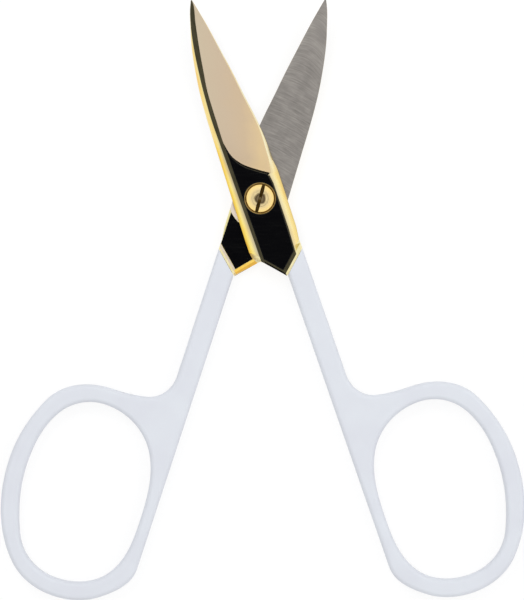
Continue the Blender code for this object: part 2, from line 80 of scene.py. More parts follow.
# %% One function that adds a node
def add(tree, kind, values=None, links=None, stops=None, **settings):
    """Adds a node, with its input values, links, ramp stops and other settings."""
    node = tree.nodes.new(kind)
    for name, value in settings.items():
        setattr(node, name, value)
    for name, value in (values or {}).items():
        node.inputs[name].default_value = value
    for name, source in (links or {}).items():
        tree.links.new(source, node.inputs[name])
    if stops:
        elements = node.color_ramp.elements
        while len(elements) < len(stops):
            elements.new(1.0)
        for element, (place, colour) in zip(elements, stops):
            element.position = place
            element.color = colour
    return node


def srgb(code):
    """The linear colour of an sRGB hex code."""
    parts = [int(code[i:i + 2], 16) / 255 for i in (0, 2, 4)]
    linear = [part / 12.92 if part <= 0.04045 else ((part + 0.055) / 1.055) ** 2.4 for part in parts]
    return (*linear, 1.0)


# %% The white tent and its lens hole
TENT_LEVEL = 0.62
LENS_HOLE_INNER = math.cos(math.radians(5))
LENS_HOLE_OUTER = math.cos(math.radians(8))


def seen_by_eye(tree):
    """1 where the camera looks, straight or by way of a reflection or a clear surface."""
    path = add(tree, "ShaderNodeLightPath")
    either = add(tree, "ShaderNodeMath", links={0: path.outputs["Is Camera Ray"],
                                                1: path.outputs["Is Glossy Ray"]},
                 operation='MAXIMUM')
    seen = add(tree, "ShaderNodeMath", links={0: either.outputs[0],
                                              1: path.outputs["Is Transmission Ray"]},
               operation='MAXIMUM')
    return path, seen.outputs[0]


def light_tent():
    world = bpy.data.worlds.new("light_tent")
    world.use_nodes = True
    tree = world.node_tree
    tree.nodes.clear()
    path, seen = seen_by_eye(tree)
    level = add(tree, "ShaderNodeMapRange", {"To Min": TENT_LEVEL, "To Max": 1.0}, {"Value": seen})
    direction = add(tree, "ShaderNodeTexCoord").outputs["Generated"]
    upward = add(tree, "ShaderNodeSeparateXYZ", links={"Vector": direction}).outputs["Z"]
    hole = add(tree, "ShaderNodeMapRange", {"From Min": LENS_HOLE_OUTER, "From Max": LENS_HOLE_INNER},
               {"Value": upward}, interpolation_type='SMOOTHSTEP')
    mirrored = add(tree, "ShaderNodeMath", links={0: hole.outputs[0],
                                                  1: path.outputs["Is Glossy Ray"]},
                   operation='MULTIPLY')
    cloth = add(tree, "ShaderNodeValToRGB", links={"Fac": mirrored.outputs[0]},
                stops=[(0.0, srgb("FFFFFF")), (1.0, srgb("2A2A2C"))])
    sky = add(tree, "ShaderNodeBackground", links={"Color": cloth.outputs["Color"],
                                                   "Strength": level.outputs[0]})
    add(tree, "ShaderNodeOutputWorld", links={"Surface": sky.outputs[0]})
    bpy.context.scene.world = world


light_tent()
print("tent: level", TENT_LEVEL, "for soft light, 1 for the eye")

# %% Soft lamps behind the cloth, which reflections already see as white
LAMP_SIZE = 0.36
LAMP_DISTANCE = 0.62
LAMPS = [("lamp_left", 128, 52, 1.05), ("lamp_right", 38, 40, 0.7), ("lamp_below", -62, 38, 0.6)]


def soft_lamp(name, azimuth, elevation, power):
    """A square lamp that looks at the pivot from a compass angle and a height in degrees."""
    data = bpy.data.lights.new(name, 'AREA')
    data.shape = 'SQUARE'
    data.size = LAMP_SIZE
    data.energy = power
    lamp = bpy.data.objects.new(name, data)
    bpy.context.scene.collection.objects.link(lamp)
    lamp.visible_glossy = False
    turn, rise = math.radians(azimuth), math.radians(elevation)
    away = Vector((math.cos(turn) * math.cos(rise), math.sin(turn) * math.cos(rise), math.sin(rise)))
    lamp.location = PIVOT + away * LAMP_DISTANCE
    lamp.rotation_euler = away.to_track_quat('Z', 'Y').to_euler()


for name, azimuth, elevation, power in LAMPS:
    soft_lamp(name, azimuth, elevation, power)
bpy.context.scene.view_settings.view_transform = 'Standard'
print(len(LAMPS), "lamps at", LAMP_DISTANCE, "m")

# %% [markdown]
# ## Floor and camera
# The scissors lie on white paper that the photo shows as pure white. The paper glows only for the
# eye, so it adds no light to the piece and still keeps a faint shadow. The camera looks straight
# down through a long lens, so both rings are drawn at one scale.

# %% The white paper
PAPER_SIZE = 3.0
PAPER_GLOW = 0.83
PAPER_KEEPS = 0.2


def white_paper():
    look = bpy.data.materials.new("white_paper")
    look.use_nodes = True
    tree = look.node_tree
    tree.nodes.clear()
    seen = seen_by_eye(tree)[1]
    bounce = add(tree, "ShaderNodeBsdfDiffuse", {"Color": srgb("E6E6E6")})
    shaded = add(tree, "ShaderNodeBsdfDiffuse", {"Color": (PAPER_KEEPS,) * 3 + (1.0,)})
    glow = add(tree, "ShaderNodeEmission", {"Strength": PAPER_GLOW})
    white = add(tree, "ShaderNodeAddShader", links={0: shaded.outputs[0], 1: glow.outputs[0]})
    both = add(tree, "ShaderNodeMixShader", links={0: seen, 1: bounce.outputs[0],
                                                   2: white.outputs[0]})
    add(tree, "ShaderNodeOutputMaterial", links={"Surface": both.outputs[0]})
    bpy.ops.mesh.primitive_plane_add(size=PAPER_SIZE)
    paper = bpy.context.object
    paper.name = "white_paper"
    paper.data.materials.append(look)


white_paper()

# %% The camera over the table
IMAGE_PIXELS = (524, 600)
PHOTO_HEIGHT = 83.08 * MM
SENSOR = 36.0
LENS = 300.0
CAMERA_ROLL = math.radians(-0.47)
CAMERA_X = 0.145 * MM
CAMERA_Y = -0.075 * MM
CLIP_HEIGHTS = 10


def place_camera():
    data = bpy.data.cameras.new("over_the_table")
    data.sensor_width = SENSOR
    data.lens = LENS
    camera = bpy.data.objects.new("over_the_table", data)
    bpy.context.scene.collection.objects.link(camera)
    height = PHOTO_HEIGHT * LENS / SENSOR
    data.clip_end = height * CLIP_HEIGHTS
    camera.location = (CAMERA_X, CAMERA_Y, PIVOT.z + height)
    camera.rotation_euler = (0, 0, CAMERA_ROLL)
    bpy.context.scene.camera = camera
    print("camera", round(height / MM), "mm above the mating faces, for", IMAGE_PIXELS, "pixels")


place_camera()

# %% [markdown]
# ## Sizes
# The main reaches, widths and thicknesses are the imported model's own. The point of the V, the spine's
# side and narrow lips, rims and bevels are drawn a few hundredths to a few tenths of a millimetre off
# its plainer ones, because a plain solid for a simulation has no need of them. One half is drawn
# closed, in its own frame: the pivot is the origin, +Y runs to the tip, +X to the cutting edge and +Z
# out of the outer face. The front half is that half turned open, and the rear half is the same half
# turned over.

# %% The sizes of one half
BLADE_REACH = 28.9 * MM
HANDLE_REACH = 61.15 * MM
REST_OPENING = math.radians(37.3)
PLATE_WIDTH = 7.2 * MM
PLATE_THICKNESS = 1.5 * MM
PLATE_LIP = 0.45 * MM
SPINE_SLOPE_RUN = 0.88 * MM
SPINE_BEVEL_RUN = 0.42 * MM
SPINE_BEVEL_DROP = 0.2 * MM
EDGE_SLOPE_RUN = 1.14 * MM
EDGE_BEVEL_RUN = 0.16 * MM
EDGE_BEVEL_DROP = 0.1 * MM
RUNNING_GAP = 0.06 * MM
V_ANGLE = math.radians(42.5)
V_FREE_ANGLE = math.radians(48.3)
V_HALF_WIDTH = 3.25 * MM
NECK_HALF_WIDTH = 3.47 * MM
SPINE_HALF_WIDTH = 3.9 * MM
V_REACH = 11.1 * MM
V_TIP_REACH = 11.38 * MM
V_LEAN = 0.5 * MM
V_STOP_GAP = 0.1 * MM
# At the V's wall, the end of its lip and the end of its bevel: how far each lies below the top, how
# far the V's free and coated sides have moved up there, and where the spine's foot turns the corner.
V_DROPS = (0.18 * MM, 0.12 * MM, 0.0)
V_FREE_RUNS = (0.0, 0.35 * MM, 0.66 * MM)
V_COATED_RUNS = (0.0, 0.41 * MM, 1.11 * MM)
SPINE_CORNER = [(3.3 * MM, 8.3 * MM), (3.79 * MM, 7.39 * MM), (3.9 * MM, 6.6 * MM)]
NECK_REACH = 5.2 * MM
WAIST_REACH = 1.4 * MM
BLADE_RISE = 2.4 * MM
BLADE_CURVE_START = 10.4 * MM
CUTTING_EDGE_THICKNESS = 0.1 * MM
SHOULDER_RUN = 0.3 * MM
SHOULDER_CORNER = 0.17 * MM

# %% The sizes of the handle, the coat and the lacquer
HANDLE_THICKNESS = 2.9 * MM
HANDLE_EDGE_RADIUS = 0.65 * MM
SHANK_CLEARANCE = 0.17 * MM
SHANK_WIDTH = 3.1 * MM
RING_WIDTH = 21.57 * MM
RING_LENGTH = 29.75 * MM
RING_FILLET = 4.45 * MM
RING_BAND_OUTER = 2.54 * MM
RING_BAND_INNER = 1.73 * MM
RING_BAND_TOP = 2.36 * MM
RING_BAND_END = 2.45 * MM
COAT_WALL = 0.3 * MM
COAT_GAP = 0.03 * MM
COLLAR_WIDTH = 0.22 * MM
COLLAR_RIM = 0.08 * MM
LACQUER_THICKNESS = 0.15 * MM
SHOULDER_RIM = 0.07 * MM
LACQUER_GAP = 0.03 * MM
LACQUER_RIM = 0.03 * MM
INNER_LACQUER_THICKNESS = 0.12 * MM
INNER_LACQUER_COAT_RIM = 0.05 * MM
RIDE_RELIEF = 0.2 * MM
RIDE_RADIUS = 4.4 * MM
RIDE_START = math.radians(25)

# %% The chamfer of the mating face, as (way in from the V's free side, height)
CHAMFER_INNER = (0.8 * MM, RIDE_RELIEF)
CHAMFER_MIDDLE = (0.45 * MM, 0.36 * MM)
CHAMFER_OUTER = (0.18 * MM, 0.55 * MM)
CHAMFER_START = 0.35 * MM
CHAMFER_END = 3.7 * MM

# %% The sizes of the screw, and what follows from all of them
WELL_RADIUS = 2.05 * MM
COUNTERSINK_RUN = 0.13 * MM
COUNTERSINK_DEPTH = 0.1 * MM
SCREW_HEAD_HEIGHT = 0.8 * MM
SCREW_HEAD_PROUD = 0.06 * MM
SCREW_HEAD_CHAMFER = 0.12 * MM
SCREW_SHANK_DIAMETER = 2.2 * MM
SCREW_END_RECESS = 0.06 * MM
SCREW_GAP = 0.05 * MM
SLOT_WIDTH = 0.42 * MM
SLOT_DEPTH = 0.4 * MM
SLOT_LEAN = math.radians(15.6)
DIMPLE_DIAMETER = 1.6 * MM
DIMPLE_DEPTH = 0.45 * MM
OVERRUN = 1.0 * MM
HALF_WIDTH = PLATE_WIDTH / 2
FACE_LEFT = -HALF_WIDTH + SPINE_SLOPE_RUN + SPINE_BEVEL_RUN
FACE_RIGHT = HALF_WIDTH - EDGE_SLOPE_RUN - EDGE_BEVEL_RUN
STEP_REACH = V_REACH - V_LEAN
V_RISE = math.tan(V_ANGLE)
V_FREE_RISE = math.tan(V_FREE_ANGLE)
COAT_REACH = V_REACH + COLLAR_WIDTH / math.cos(V_ANGLE)
COUNTERSINK_RADIUS = WELL_RADIUS + COUNTERSINK_RUN
SCREW_HEAD_RADIUS = WELL_RADIUS - SCREW_GAP
BORE_RADIUS = SCREW_SHANK_DIAMETER / 2 + SCREW_GAP
print("screw head", round(2 * SCREW_HEAD_RADIUS / MM, 2), "mm across")


# %% Where each half lies
def half_place(side):
    """From a half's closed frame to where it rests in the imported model."""
    over = math.pi if side == "rear" else 0.0
    lean = math.copysign(REST_OPENING / 2, math.cos(over))
    stand = math.copysign(RUNNING_GAP / 2, math.cos(over))
    return (Matrix.Translation(PIVOT + Vector((0, 0, stand)))
            @ Matrix.Rotation(lean, 4, 'Z') @ Matrix.Rotation(over, 4, 'Y'))


# %% [markdown]
# ## Finishes
# Every finish starts from what the real surface is and how it was made, and several also paint light
# and shade into their colour, as each one says. Patterns on the steel read the attribute closed_place:
# each point's place in its half's closed frame, in millimetres, so both halves are ground and polished
# alike. The UV map strip tells which flat of the section a point is on, as a whole number, and how far
# across that flat it lies, as the fraction.

# %% A material to fill in
def new_finish(name, metallic=0.0, roughness=0.5):
    look = bpy.data.materials.new(name)
    look.use_nodes = True
    tree = look.node_tree
    tree.nodes.clear()
    shader = add(tree, "ShaderNodeBsdfPrincipled", {"Metallic": metallic, "Roughness": roughness})
    add(tree, "ShaderNodeOutputMaterial", links={"Surface": shader.outputs["BSDF"]})
    return look, tree, shader


def closed_place(tree):
    return add(tree, "ShaderNodeAttribute", attribute_name="closed_place").outputs["Vector"]


def dress(tree, shader, colour, sheen=None, bump=None):
    """Gives a shader its colour, and its roughness and bump where these vary."""
    for name, source in (("Base Color", colour), ("Roughness", sheen), ("Normal", bump)):
        if source is not None:
            tree.links.new(source, shader.inputs[name])


# %% [markdown]
# ### White coat
# The handles are dipped or sprayed in a satin, slightly bluish white. Such a coat is smooth to the
# eye and faintly pebbled close up. The pebbles are about 0.1 mm across on the real coat and are drawn
# at 0.16 mm, so that they show at all.

# %% Satin white coat
COAT_GRAIN = 0.16 * MM
COAT_PEBBLE_DEPTH = 0.01 * MM
COAT_CLOUD = 5.0 * MM


def satin_white_coat():
    look, tree, shader = new_finish("satin_white_coat", roughness=0.42)
    place = add(tree, "ShaderNodeTexCoord").outputs["Object"]
    cloud = add(tree, "ShaderNodeTexNoise", {"Scale": 1 / COAT_CLOUD, "Detail": 2.0},
                {"Vector": place})
    shade = add(tree, "ShaderNodeValToRGB", links={"Fac": cloud.outputs["Fac"]},
                stops=[(0.3, srgb("DDE0E8")), (0.7, srgb("E1E5EC"))])
    grain = add(tree, "ShaderNodeTexNoise", {"Scale": 1 / COAT_GRAIN, "Detail": 2.0},
                {"Vector": place})
    sheen = add(tree, "ShaderNodeMapRange", {"To Min": 0.36, "To Max": 0.48},
                {"Value": grain.outputs["Fac"]})
    bump = add(tree, "ShaderNodeBump", {"Strength": 0.25, "Distance": COAT_PEBBLE_DEPTH},
               {"Height": grain.outputs["Fac"]})
    dress(tree, shader, shade.outputs["Color"], sheen.outputs[0], bump.outputs[0])
    return look


# %% [markdown]
# ### Black lacquer
# A thin, glossy, near-black lacquer fills the pockets of the joint plate. Its IOR is the 1.5 of a
# clear varnish, its pool is level but for a faint orange peel, and wiping has left hairlines that
# only roughen it.

# %% Gloss black lacquer
VARNISH_IOR = 1.5
PEEL_SIZE = 0.9 * MM
PEEL_DEPTH = 0.004 * MM
HAIR_LENGTH = 2.4 * MM
HAIR_STRETCH = (1.0, 14.0, 1.0)
HAIR_LEAN = math.radians(28)


def gloss_black_lacquer():
    look, tree, shader = new_finish("gloss_black_lacquer")
    place = add(tree, "ShaderNodeTexCoord").outputs["Object"]
    peel = add(tree, "ShaderNodeTexNoise", {"Scale": 1 / PEEL_SIZE, "Detail": 1.0},
               {"Vector": place})
    bump = add(tree, "ShaderNodeBump", {"Strength": 0.2, "Distance": PEEL_DEPTH},
               {"Height": peel.outputs["Fac"]})
    wiped = add(tree, "ShaderNodeMapping", {"Scale": HAIR_STRETCH, "Rotation": (0, 0, HAIR_LEAN)},
                {"Vector": place})
    hairs = add(tree, "ShaderNodeTexNoise", {"Scale": 1 / HAIR_LENGTH, "Detail": 3.0},
                {"Vector": wiped.outputs[0]})
    dull = add(tree, "ShaderNodeMapRange", {"From Min": 0.55, "From Max": 0.8, "To Min": 0.05,
                                            "To Max": 0.16}, {"Value": hairs.outputs["Fac"]})
    shade = add(tree, "ShaderNodeValToRGB", links={"Fac": hairs.outputs["Fac"]},
                stops=[(0.4, srgb("070709")), (0.8, srgb("0C0C0D"))])
    shader.inputs["IOR"].default_value = VARNISH_IOR
    dress(tree, shader, shade.outputs["Color"], dull.outputs[0], bump.outputs[0])
    return look


# %% [markdown]
# ### Polished gold plating, with painted light
# The sides of the steel are polished and gold plated. Over the gold, the ramp paints the highlights and
# dark reflections that the polished slopes show: pale cream bands across each slope and darker gold
# towards their edges. The ramp reads the strip map: 1 to 2 is the slope of the spine, from its foot up,
# and 5 to 6 the slope of the cutting side, from its top down.

# %% Polished gold plating, with painted highlights and reflections
BLOTCH_STRETCH = (1.0, 0.25, 1.0)
BUFF_STRETCH = (9.0, 0.7, 9.0)
BUFF_DEPTH = 0.004 * MM
# The rows of the loft over which the plate's ramp gives way to the blade's.
BLADE_GOLD_START, BLADE_GOLD_END = 4.3, 9.0
STRIP_COUNT = 9
# The gold of each slope by strip place, with painted highlights in cream and painted dark reflections.
PLATE_GOLD_PAINTED_LIGHT = [(1.0, "E8C558"), (1.25, "F6DC6C"), (1.45, "FDEA8C"), (1.6, "F3E09A"),
              (1.72, "DFD29F"), (1.85, "CCC3A2"), (1.96, "BAB29A"), (2.0, "8A8468"),
              (4.9, "D2C4A0"), (5.15, "E6D9AC"), (5.3, "F4E6B4"), (5.45, "FEF3B8"),
              (5.6, "FEF2B2"), (5.8, "F4E29C"), (6.0, "D8C07C")]
BLADE_GOLD_PAINTED_LIGHT = [(1.0, "F8E8B0"), (1.4, "F5DC90"), (1.7, "F2DE98"), (2.0, "DAD29C"),
              (4.0, "E6CF9F"), (4.5, "EBDCB2"), (5.0, "F6EDC8"), (5.5, "FBF4D0"), (6.0, "E6DAB0")]


def gold_plating_with_painted_light():
    look, tree, shader = new_finish("gold_plating_with_painted_light", metallic=1.0)
    strip = add(tree, "ShaderNodeUVMap", uv_map="strip")
    parts = add(tree, "ShaderNodeSeparateXYZ", links={"Vector": strip.outputs[0]})
    across, along = parts.outputs["X"], parts.outputs["Y"]
    share = add(tree, "ShaderNodeMath", {1: 1 / STRIP_COUNT}, {0: across}, operation='MULTIPLY')
    plate, blade = [add(tree, "ShaderNodeValToRGB", links={"Fac": share.outputs[0]},
                        stops=[(place / STRIP_COUNT, srgb(code)) for place, code in stops])
                    for stops in (PLATE_GOLD_PAINTED_LIGHT, BLADE_GOLD_PAINTED_LIGHT)]
    grown = add(tree, "ShaderNodeMapRange", {"From Min": BLADE_GOLD_START,
                                             "From Max": BLADE_GOLD_END}, {"Value": along})
    plating = add(tree, "ShaderNodeMix", links={"Factor": grown.outputs[0],
                                                6: plate.outputs["Color"],
                                                7: blade.outputs["Color"]}, data_type='RGBA')
    place = closed_place(tree)
    long_blotch = add(tree, "ShaderNodeMapping", {"Scale": BLOTCH_STRETCH}, {"Vector": place})
    cloud = add(tree, "ShaderNodeTexNoise", {"Scale": 1.0, "Detail": 2.0},
                {"Vector": long_blotch.outputs[0]})
    warmth = add(tree, "ShaderNodeValToRGB", links={"Fac": cloud.outputs["Fac"]},
                 stops=[(0.35, srgb("FFFFFF")), (0.7, srgb("FCEBD0"))])
    both = add(tree, "ShaderNodeMix", {"Factor": 1.0},
               {6: plating.outputs[2], 7: warmth.outputs["Color"]},
               data_type='RGBA', blend_type='MULTIPLY')
    buffed = add(tree, "ShaderNodeMapping", {"Scale": BUFF_STRETCH}, {"Vector": place})
    lines = add(tree, "ShaderNodeTexNoise", {"Scale": 1.6, "Detail": 3.0},
                {"Vector": buffed.outputs[0]})
    sheen = add(tree, "ShaderNodeMapRange", {"To Min": 0.1, "To Max": 0.24},
                {"Value": lines.outputs["Fac"]})
    bump = add(tree, "ShaderNodeBump", {"Strength": 0.15, "Distance": BUFF_DEPTH},
               {"Height": lines.outputs["Fac"]})
    dress(tree, shader, both.outputs[2], sheen.outputs[0], bump.outputs[0])
    return look


# %% [markdown]
# ### Darkened bevels
# The polished bevels and the narrow rims round the lacquer's pockets are gold, painted dark olive for
# the dark reflection that they show. It is still metal, so it is a dark metal here. The rims are
# painted lighter than the bevels.

# %% Gold painted dark, darker on the bevels and lighter on the rims
TONE_STRETCH = (2.5, 0.5, 2.5)


def painted_dark_gold(name, dark, light):
    look, tree, shader = new_finish(name, metallic=1.0)
    place = closed_place(tree)
    drawn_out = add(tree, "ShaderNodeMapping", {"Scale": TONE_STRETCH}, {"Vector": place})
    uneven_tone = add(tree, "ShaderNodeTexNoise", {"Scale": 1.2, "Detail": 3.0},
               {"Vector": drawn_out.outputs[0]})
    shade = add(tree, "ShaderNodeValToRGB", links={"Fac": uneven_tone.outputs["Fac"]},
                stops=[(0.3, srgb(dark)), (0.7, srgb(light))])
    sheen = add(tree, "ShaderNodeMapRange", {"To Min": 0.18, "To Max": 0.34},
                {"Value": uneven_tone.outputs["Fac"]})
    dress(tree, shader, shade.outputs["Color"], sheen.outputs[0])
    return look


# %% [markdown]
# ### Ground faces
# The outer face of a blade is ground fine and plated: a satin champagne, with a painted reflection that
# makes it greyer towards the spine and the tip and warmer towards the cutting edge. The inner face is
# ground again after plating, so bare steel shows there, with lines across the blade that bend into arcs
# near the tip, as the wheel left them. The lines are about 0.05 mm apart on such a face and are drawn
# at 0.17 mm, so that they show. Round the pivot the halves slide on each other, and the lower rim of
# that round ride carries a painted highlight in pale steel.

# %% Satin champagne of the ground face
# How far the painted reflection moves the ramp to its warm end per millimetre: on towards the cutting
# edge, and back towards the tip.
PAINTED_REFLECTION_PER_MM = (0.11, -0.028, 0.0)
PAINTED_REFLECTION_AT_PIVOT = 0.75
MOTTLING = 0.25
SATIN_STRETCH = (0.5, 12.0, 1.0)
SATIN_LEAN = math.radians(-12)
SATIN_DEPTH = 0.004 * MM


def ground_champagne():
    look, tree, shader = new_finish("ground_champagne_plating", metallic=1.0)
    place = closed_place(tree)
    slant = add(tree, "ShaderNodeVectorMath", {1: PAINTED_REFLECTION_PER_MM}, {0: place},
                operation='DOT_PRODUCT')
    cloud = add(tree, "ShaderNodeTexNoise", {"Scale": 0.35, "Detail": 2.0}, {"Vector": place})
    mottled = add(tree, "ShaderNodeMath", {1: MOTTLING}, {0: cloud.outputs["Fac"]},
                  operation='MULTIPLY')
    warm = add(tree, "ShaderNodeMath", links={0: slant.outputs["Value"], 1: mottled.outputs[0]},
               operation='ADD')
    level = add(tree, "ShaderNodeMath", {1: PAINTED_REFLECTION_AT_PIVOT}, {0: warm.outputs[0]}, operation='ADD')
    shade = add(tree, "ShaderNodeValToRGB", links={"Fac": level.outputs[0]},
                stops=[(0.1, srgb("D2C2A8")), (0.45, srgb("D3BFA5")), (0.7, srgb("D6BFA0")),
                       (0.95, srgb("E4CA9E"))])
    across = add(tree, "ShaderNodeMapping", {"Scale": SATIN_STRETCH, "Rotation": (0, 0, SATIN_LEAN)},
                 {"Vector": place})
    lines = add(tree, "ShaderNodeTexNoise", {"Scale": 1.4, "Detail": 3.0},
                {"Vector": across.outputs[0]})
    sheen = add(tree, "ShaderNodeMapRange", {"To Min": 0.34, "To Max": 0.46},
                {"Value": lines.outputs["Fac"]})
    bump = add(tree, "ShaderNodeBump", {"Strength": 0.12, "Distance": SATIN_DEPTH},
               {"Height": lines.outputs["Fac"]})
    dress(tree, shader, shade.outputs["Color"], sheen.outputs[0], bump.outputs[0])
    return look


# %% Bare ground steel of the inner face, with lengths in millimetres as in closed_place
GRIND_SPACING = 0.17
GRIND_STRETCH = (0.35, 1 / GRIND_SPACING, 1.0)
GRIND_DEPTH = 0.01 * MM
GRIND_TILT = -0.15
ARC_START, ARC_END = 15.0, 28.0
BEND_AT_START, BEND_AT_END = 0.02, 0.28
# Where the painted highlight on the lower rim of the ride begins and is full, in mm from the pivot.
PAINTED_GLINT_INNER, PAINTED_GLINT_OUTER = 3.7, 3.95


def ground_steel():
    look, tree, shader = new_finish("ground_bare_steel", metallic=1.0)
    place = closed_place(tree)
    parts = add(tree, "ShaderNodeSeparateXYZ", links={"Vector": place})
    aside, along = parts.outputs["X"], parts.outputs["Y"]
    square = add(tree, "ShaderNodeMath", links={0: aside, 1: aside}, operation='MULTIPLY')
    bend = add(tree, "ShaderNodeMapRange", {"From Min": ARC_START, "From Max": ARC_END,
                                            "To Min": BEND_AT_START, "To Max": BEND_AT_END},
               {"Value": along})
    sag = add(tree, "ShaderNodeMath", links={0: square.outputs[0], 1: bend.outputs[0]},
              operation='MULTIPLY')
    tilt = add(tree, "ShaderNodeMath", {1: GRIND_TILT}, {0: aside}, operation='MULTIPLY')
    level = add(tree, "ShaderNodeMath", links={0: along, 1: sag.outputs[0]}, operation='ADD')
    slanted = add(tree, "ShaderNodeMath", links={0: level.outputs[0], 1: tilt.outputs[0]},
                  operation='ADD')
    wheel = add(tree, "ShaderNodeCombineXYZ", links={"X": aside, "Y": slanted.outputs[0]})
    drawn = add(tree, "ShaderNodeMapping", {"Scale": GRIND_STRETCH},
                {"Vector": wheel.outputs[0]})
    lines = add(tree, "ShaderNodeTexNoise", {"Scale": 1.0, "Detail": 4.0, "Roughness": 0.7},
                {"Vector": drawn.outputs[0]})
    cloud = add(tree, "ShaderNodeTexNoise", {"Scale": 0.6, "Detail": 2.0}, {"Vector": place})
    both = add(tree, "ShaderNodeMix", {"Factor": 0.3}, {2: lines.outputs["Fac"],
                                                        3: cloud.outputs["Fac"]},
               data_type='FLOAT')
    shade = add(tree, "ShaderNodeValToRGB", links={"Fac": both.outputs[0]},
                stops=[(0.33, srgb("87837E")), (0.5, srgb("9A9590")), (0.68, srgb("B0ABA4"))])
    from_pivot = add(tree, "ShaderNodeVectorMath", links={0: place}, operation='LENGTH')
    outer = add(tree, "ShaderNodeMapRange", {"From Min": PAINTED_GLINT_INNER, "From Max": PAINTED_GLINT_OUTER},
                {"Value": from_pivot.outputs["Value"]})
    below = add(tree, "ShaderNodeMath", {1: 0.0}, {0: along}, operation='LESS_THAN')
    glint_mask = add(tree, "ShaderNodeMath", links={0: outer.outputs[0], 1: below.outputs[0]},
                 operation='MULTIPLY')
    bright = add(tree, "ShaderNodeMix", {7: srgb("F3E6D8")},
                 {"Factor": glint_mask.outputs[0], 6: shade.outputs["Color"]}, data_type='RGBA')
    sheen = add(tree, "ShaderNodeMapRange", {"To Min": 0.3, "To Max": 0.5},
                {"Value": lines.outputs["Fac"]})
    bump = add(tree, "ShaderNodeBump", {"Strength": 0.35, "Distance": GRIND_DEPTH},
               {"Height": lines.outputs["Fac"]})
    dress(tree, shader, bright.outputs[2], sheen.outputs[0], bump.outputs[0])
    return look


# %% [markdown]
# ### Turned screw
# The screw is turned on a lathe and plated. A turned face scatters light round its axis, so its bump
# and roughness are rings about the pivot, and so is its colour, which paints shade: dark in the dimple
# in the middle and in a ring round it, darker gold at the outer rim, bright gold between. Real turning
# rings are about 0.03 mm apart, and they are drawn at 0.2 mm, so that they show.

# %% Turned gold of the screw
RING_PITCH = 0.2 * MM
RING_DEPTH = 0.004 * MM
WOBBLE_SIZE = 0.8 * MM


def turned_gold():
    look, tree, shader = new_finish("turned_gold_plating", metallic=1.0)
    place = add(tree, "ShaderNodeTexCoord").outputs["Object"]
    centred = add(tree, "ShaderNodeMapping", {"Location": (-PIVOT.x, -PIVOT.y, 0.0)},
                  {"Vector": place})
    flat = add(tree, "ShaderNodeVectorMath", {1: (1.0, 1.0, 0.0)}, {0: centred.outputs[0]},
               operation='MULTIPLY')
    radius = add(tree, "ShaderNodeVectorMath", links={0: flat.outputs[0]}, operation='LENGTH')
    share = add(tree, "ShaderNodeMath", {1: 1 / SCREW_HEAD_RADIUS}, {0: radius.outputs["Value"]},
                operation='MULTIPLY')
    wobble = add(tree, "ShaderNodeTexNoise", {"Scale": 1 / WOBBLE_SIZE, "Detail": 2.0},
                 {"Vector": place})
    drift = add(tree, "ShaderNodeMapRange", {"To Min": -0.08, "To Max": 0.08},
                {"Value": wobble.outputs["Fac"]})
    around = add(tree, "ShaderNodeMath", links={0: share.outputs[0], 1: drift.outputs[0]},
                 operation='ADD')
    # Painted shade: dark in the dimple and in a ring round it, darker gold at the outer rim.
    shade = add(tree, "ShaderNodeValToRGB", links={"Fac": around.outputs[0]},
                stops=[(0.0, srgb("5C5134")), (0.18, srgb("7E6E52")), (0.31, srgb("544632")),
                       (0.38, srgb("A08E68")), (0.46, srgb("F2DCA6")), (0.62, srgb("FFE4A8")),
                       (0.82, srgb("FFE39A")), (0.94, srgb("FFDF8C")), (1.0, srgb("D0A24C"))])
    turns = add(tree, "ShaderNodeMath", {1: math.tau / RING_PITCH}, {0: radius.outputs["Value"]},
                operation='MULTIPLY')
    rings = add(tree, "ShaderNodeMath", links={0: turns.outputs[0]}, operation='SINE')
    bump = add(tree, "ShaderNodeBump", {"Strength": 0.12, "Distance": RING_DEPTH},
               {"Height": rings.outputs[0]})
    sheen = add(tree, "ShaderNodeMapRange", {"From Min": -1.0, "To Min": 0.2, "To Max": 0.32},
                {"Value": rings.outputs[0]})
    dress(tree, shader, shade.outputs["Color"], sheen.outputs[0], bump.outputs[0])
    return look


# %% [markdown]
# ### Recesses and cut faces, with painted light
# The slot and the well round the screw are painted brown, and the foot of the shoulder and the V's free
# lip black, as painted shade. The cut faces of the collar and the relief, and the pale strips by the V
# and the shoulder, are painted cream as painted highlights, duller than the buffed sides, and the
# chamfer along the V's free side is a deeper gold, its inner facet painted lighter and its outer
# darker.
# One recipe serves them all, with two colours for each place, mixed in random patches.

# %% Gold of the recesses and the cut faces, with painted shade and highlights
PATCH_SIZE = 0.7 * MM


def gold_with_painted_light(name, dark, light):
    look, tree, shader = new_finish(name, metallic=1.0, roughness=0.35)
    place = add(tree, "ShaderNodeTexCoord").outputs["Object"]
    patches = add(tree, "ShaderNodeTexNoise", {"Scale": 1 / PATCH_SIZE, "Detail": 3.0},
               {"Vector": place})
    shade = add(tree, "ShaderNodeValToRGB", links={"Fac": patches.outputs["Fac"]},
                stops=[(0.35, srgb(dark)), (0.65, srgb(light))])
    dress(tree, shader, shade.outputs["Color"])
    return look


# %% Every finish, made once
COAT = satin_white_coat()
LACQUER = gloss_black_lacquer()
GOLD = gold_plating_with_painted_light()
# BEVEL and RIM: dark olive painted for the dark reflection of the polished bevels and rims.
BEVEL = painted_dark_gold("painted_dark_gold_bevel", "3E3B2C", "504B38")
RIM = painted_dark_gold("painted_dark_gold_rim", "504A3A", "6A634E")
CHAMPAGNE = ground_champagne()
STEEL = ground_steel()
TURNED = turned_gold()
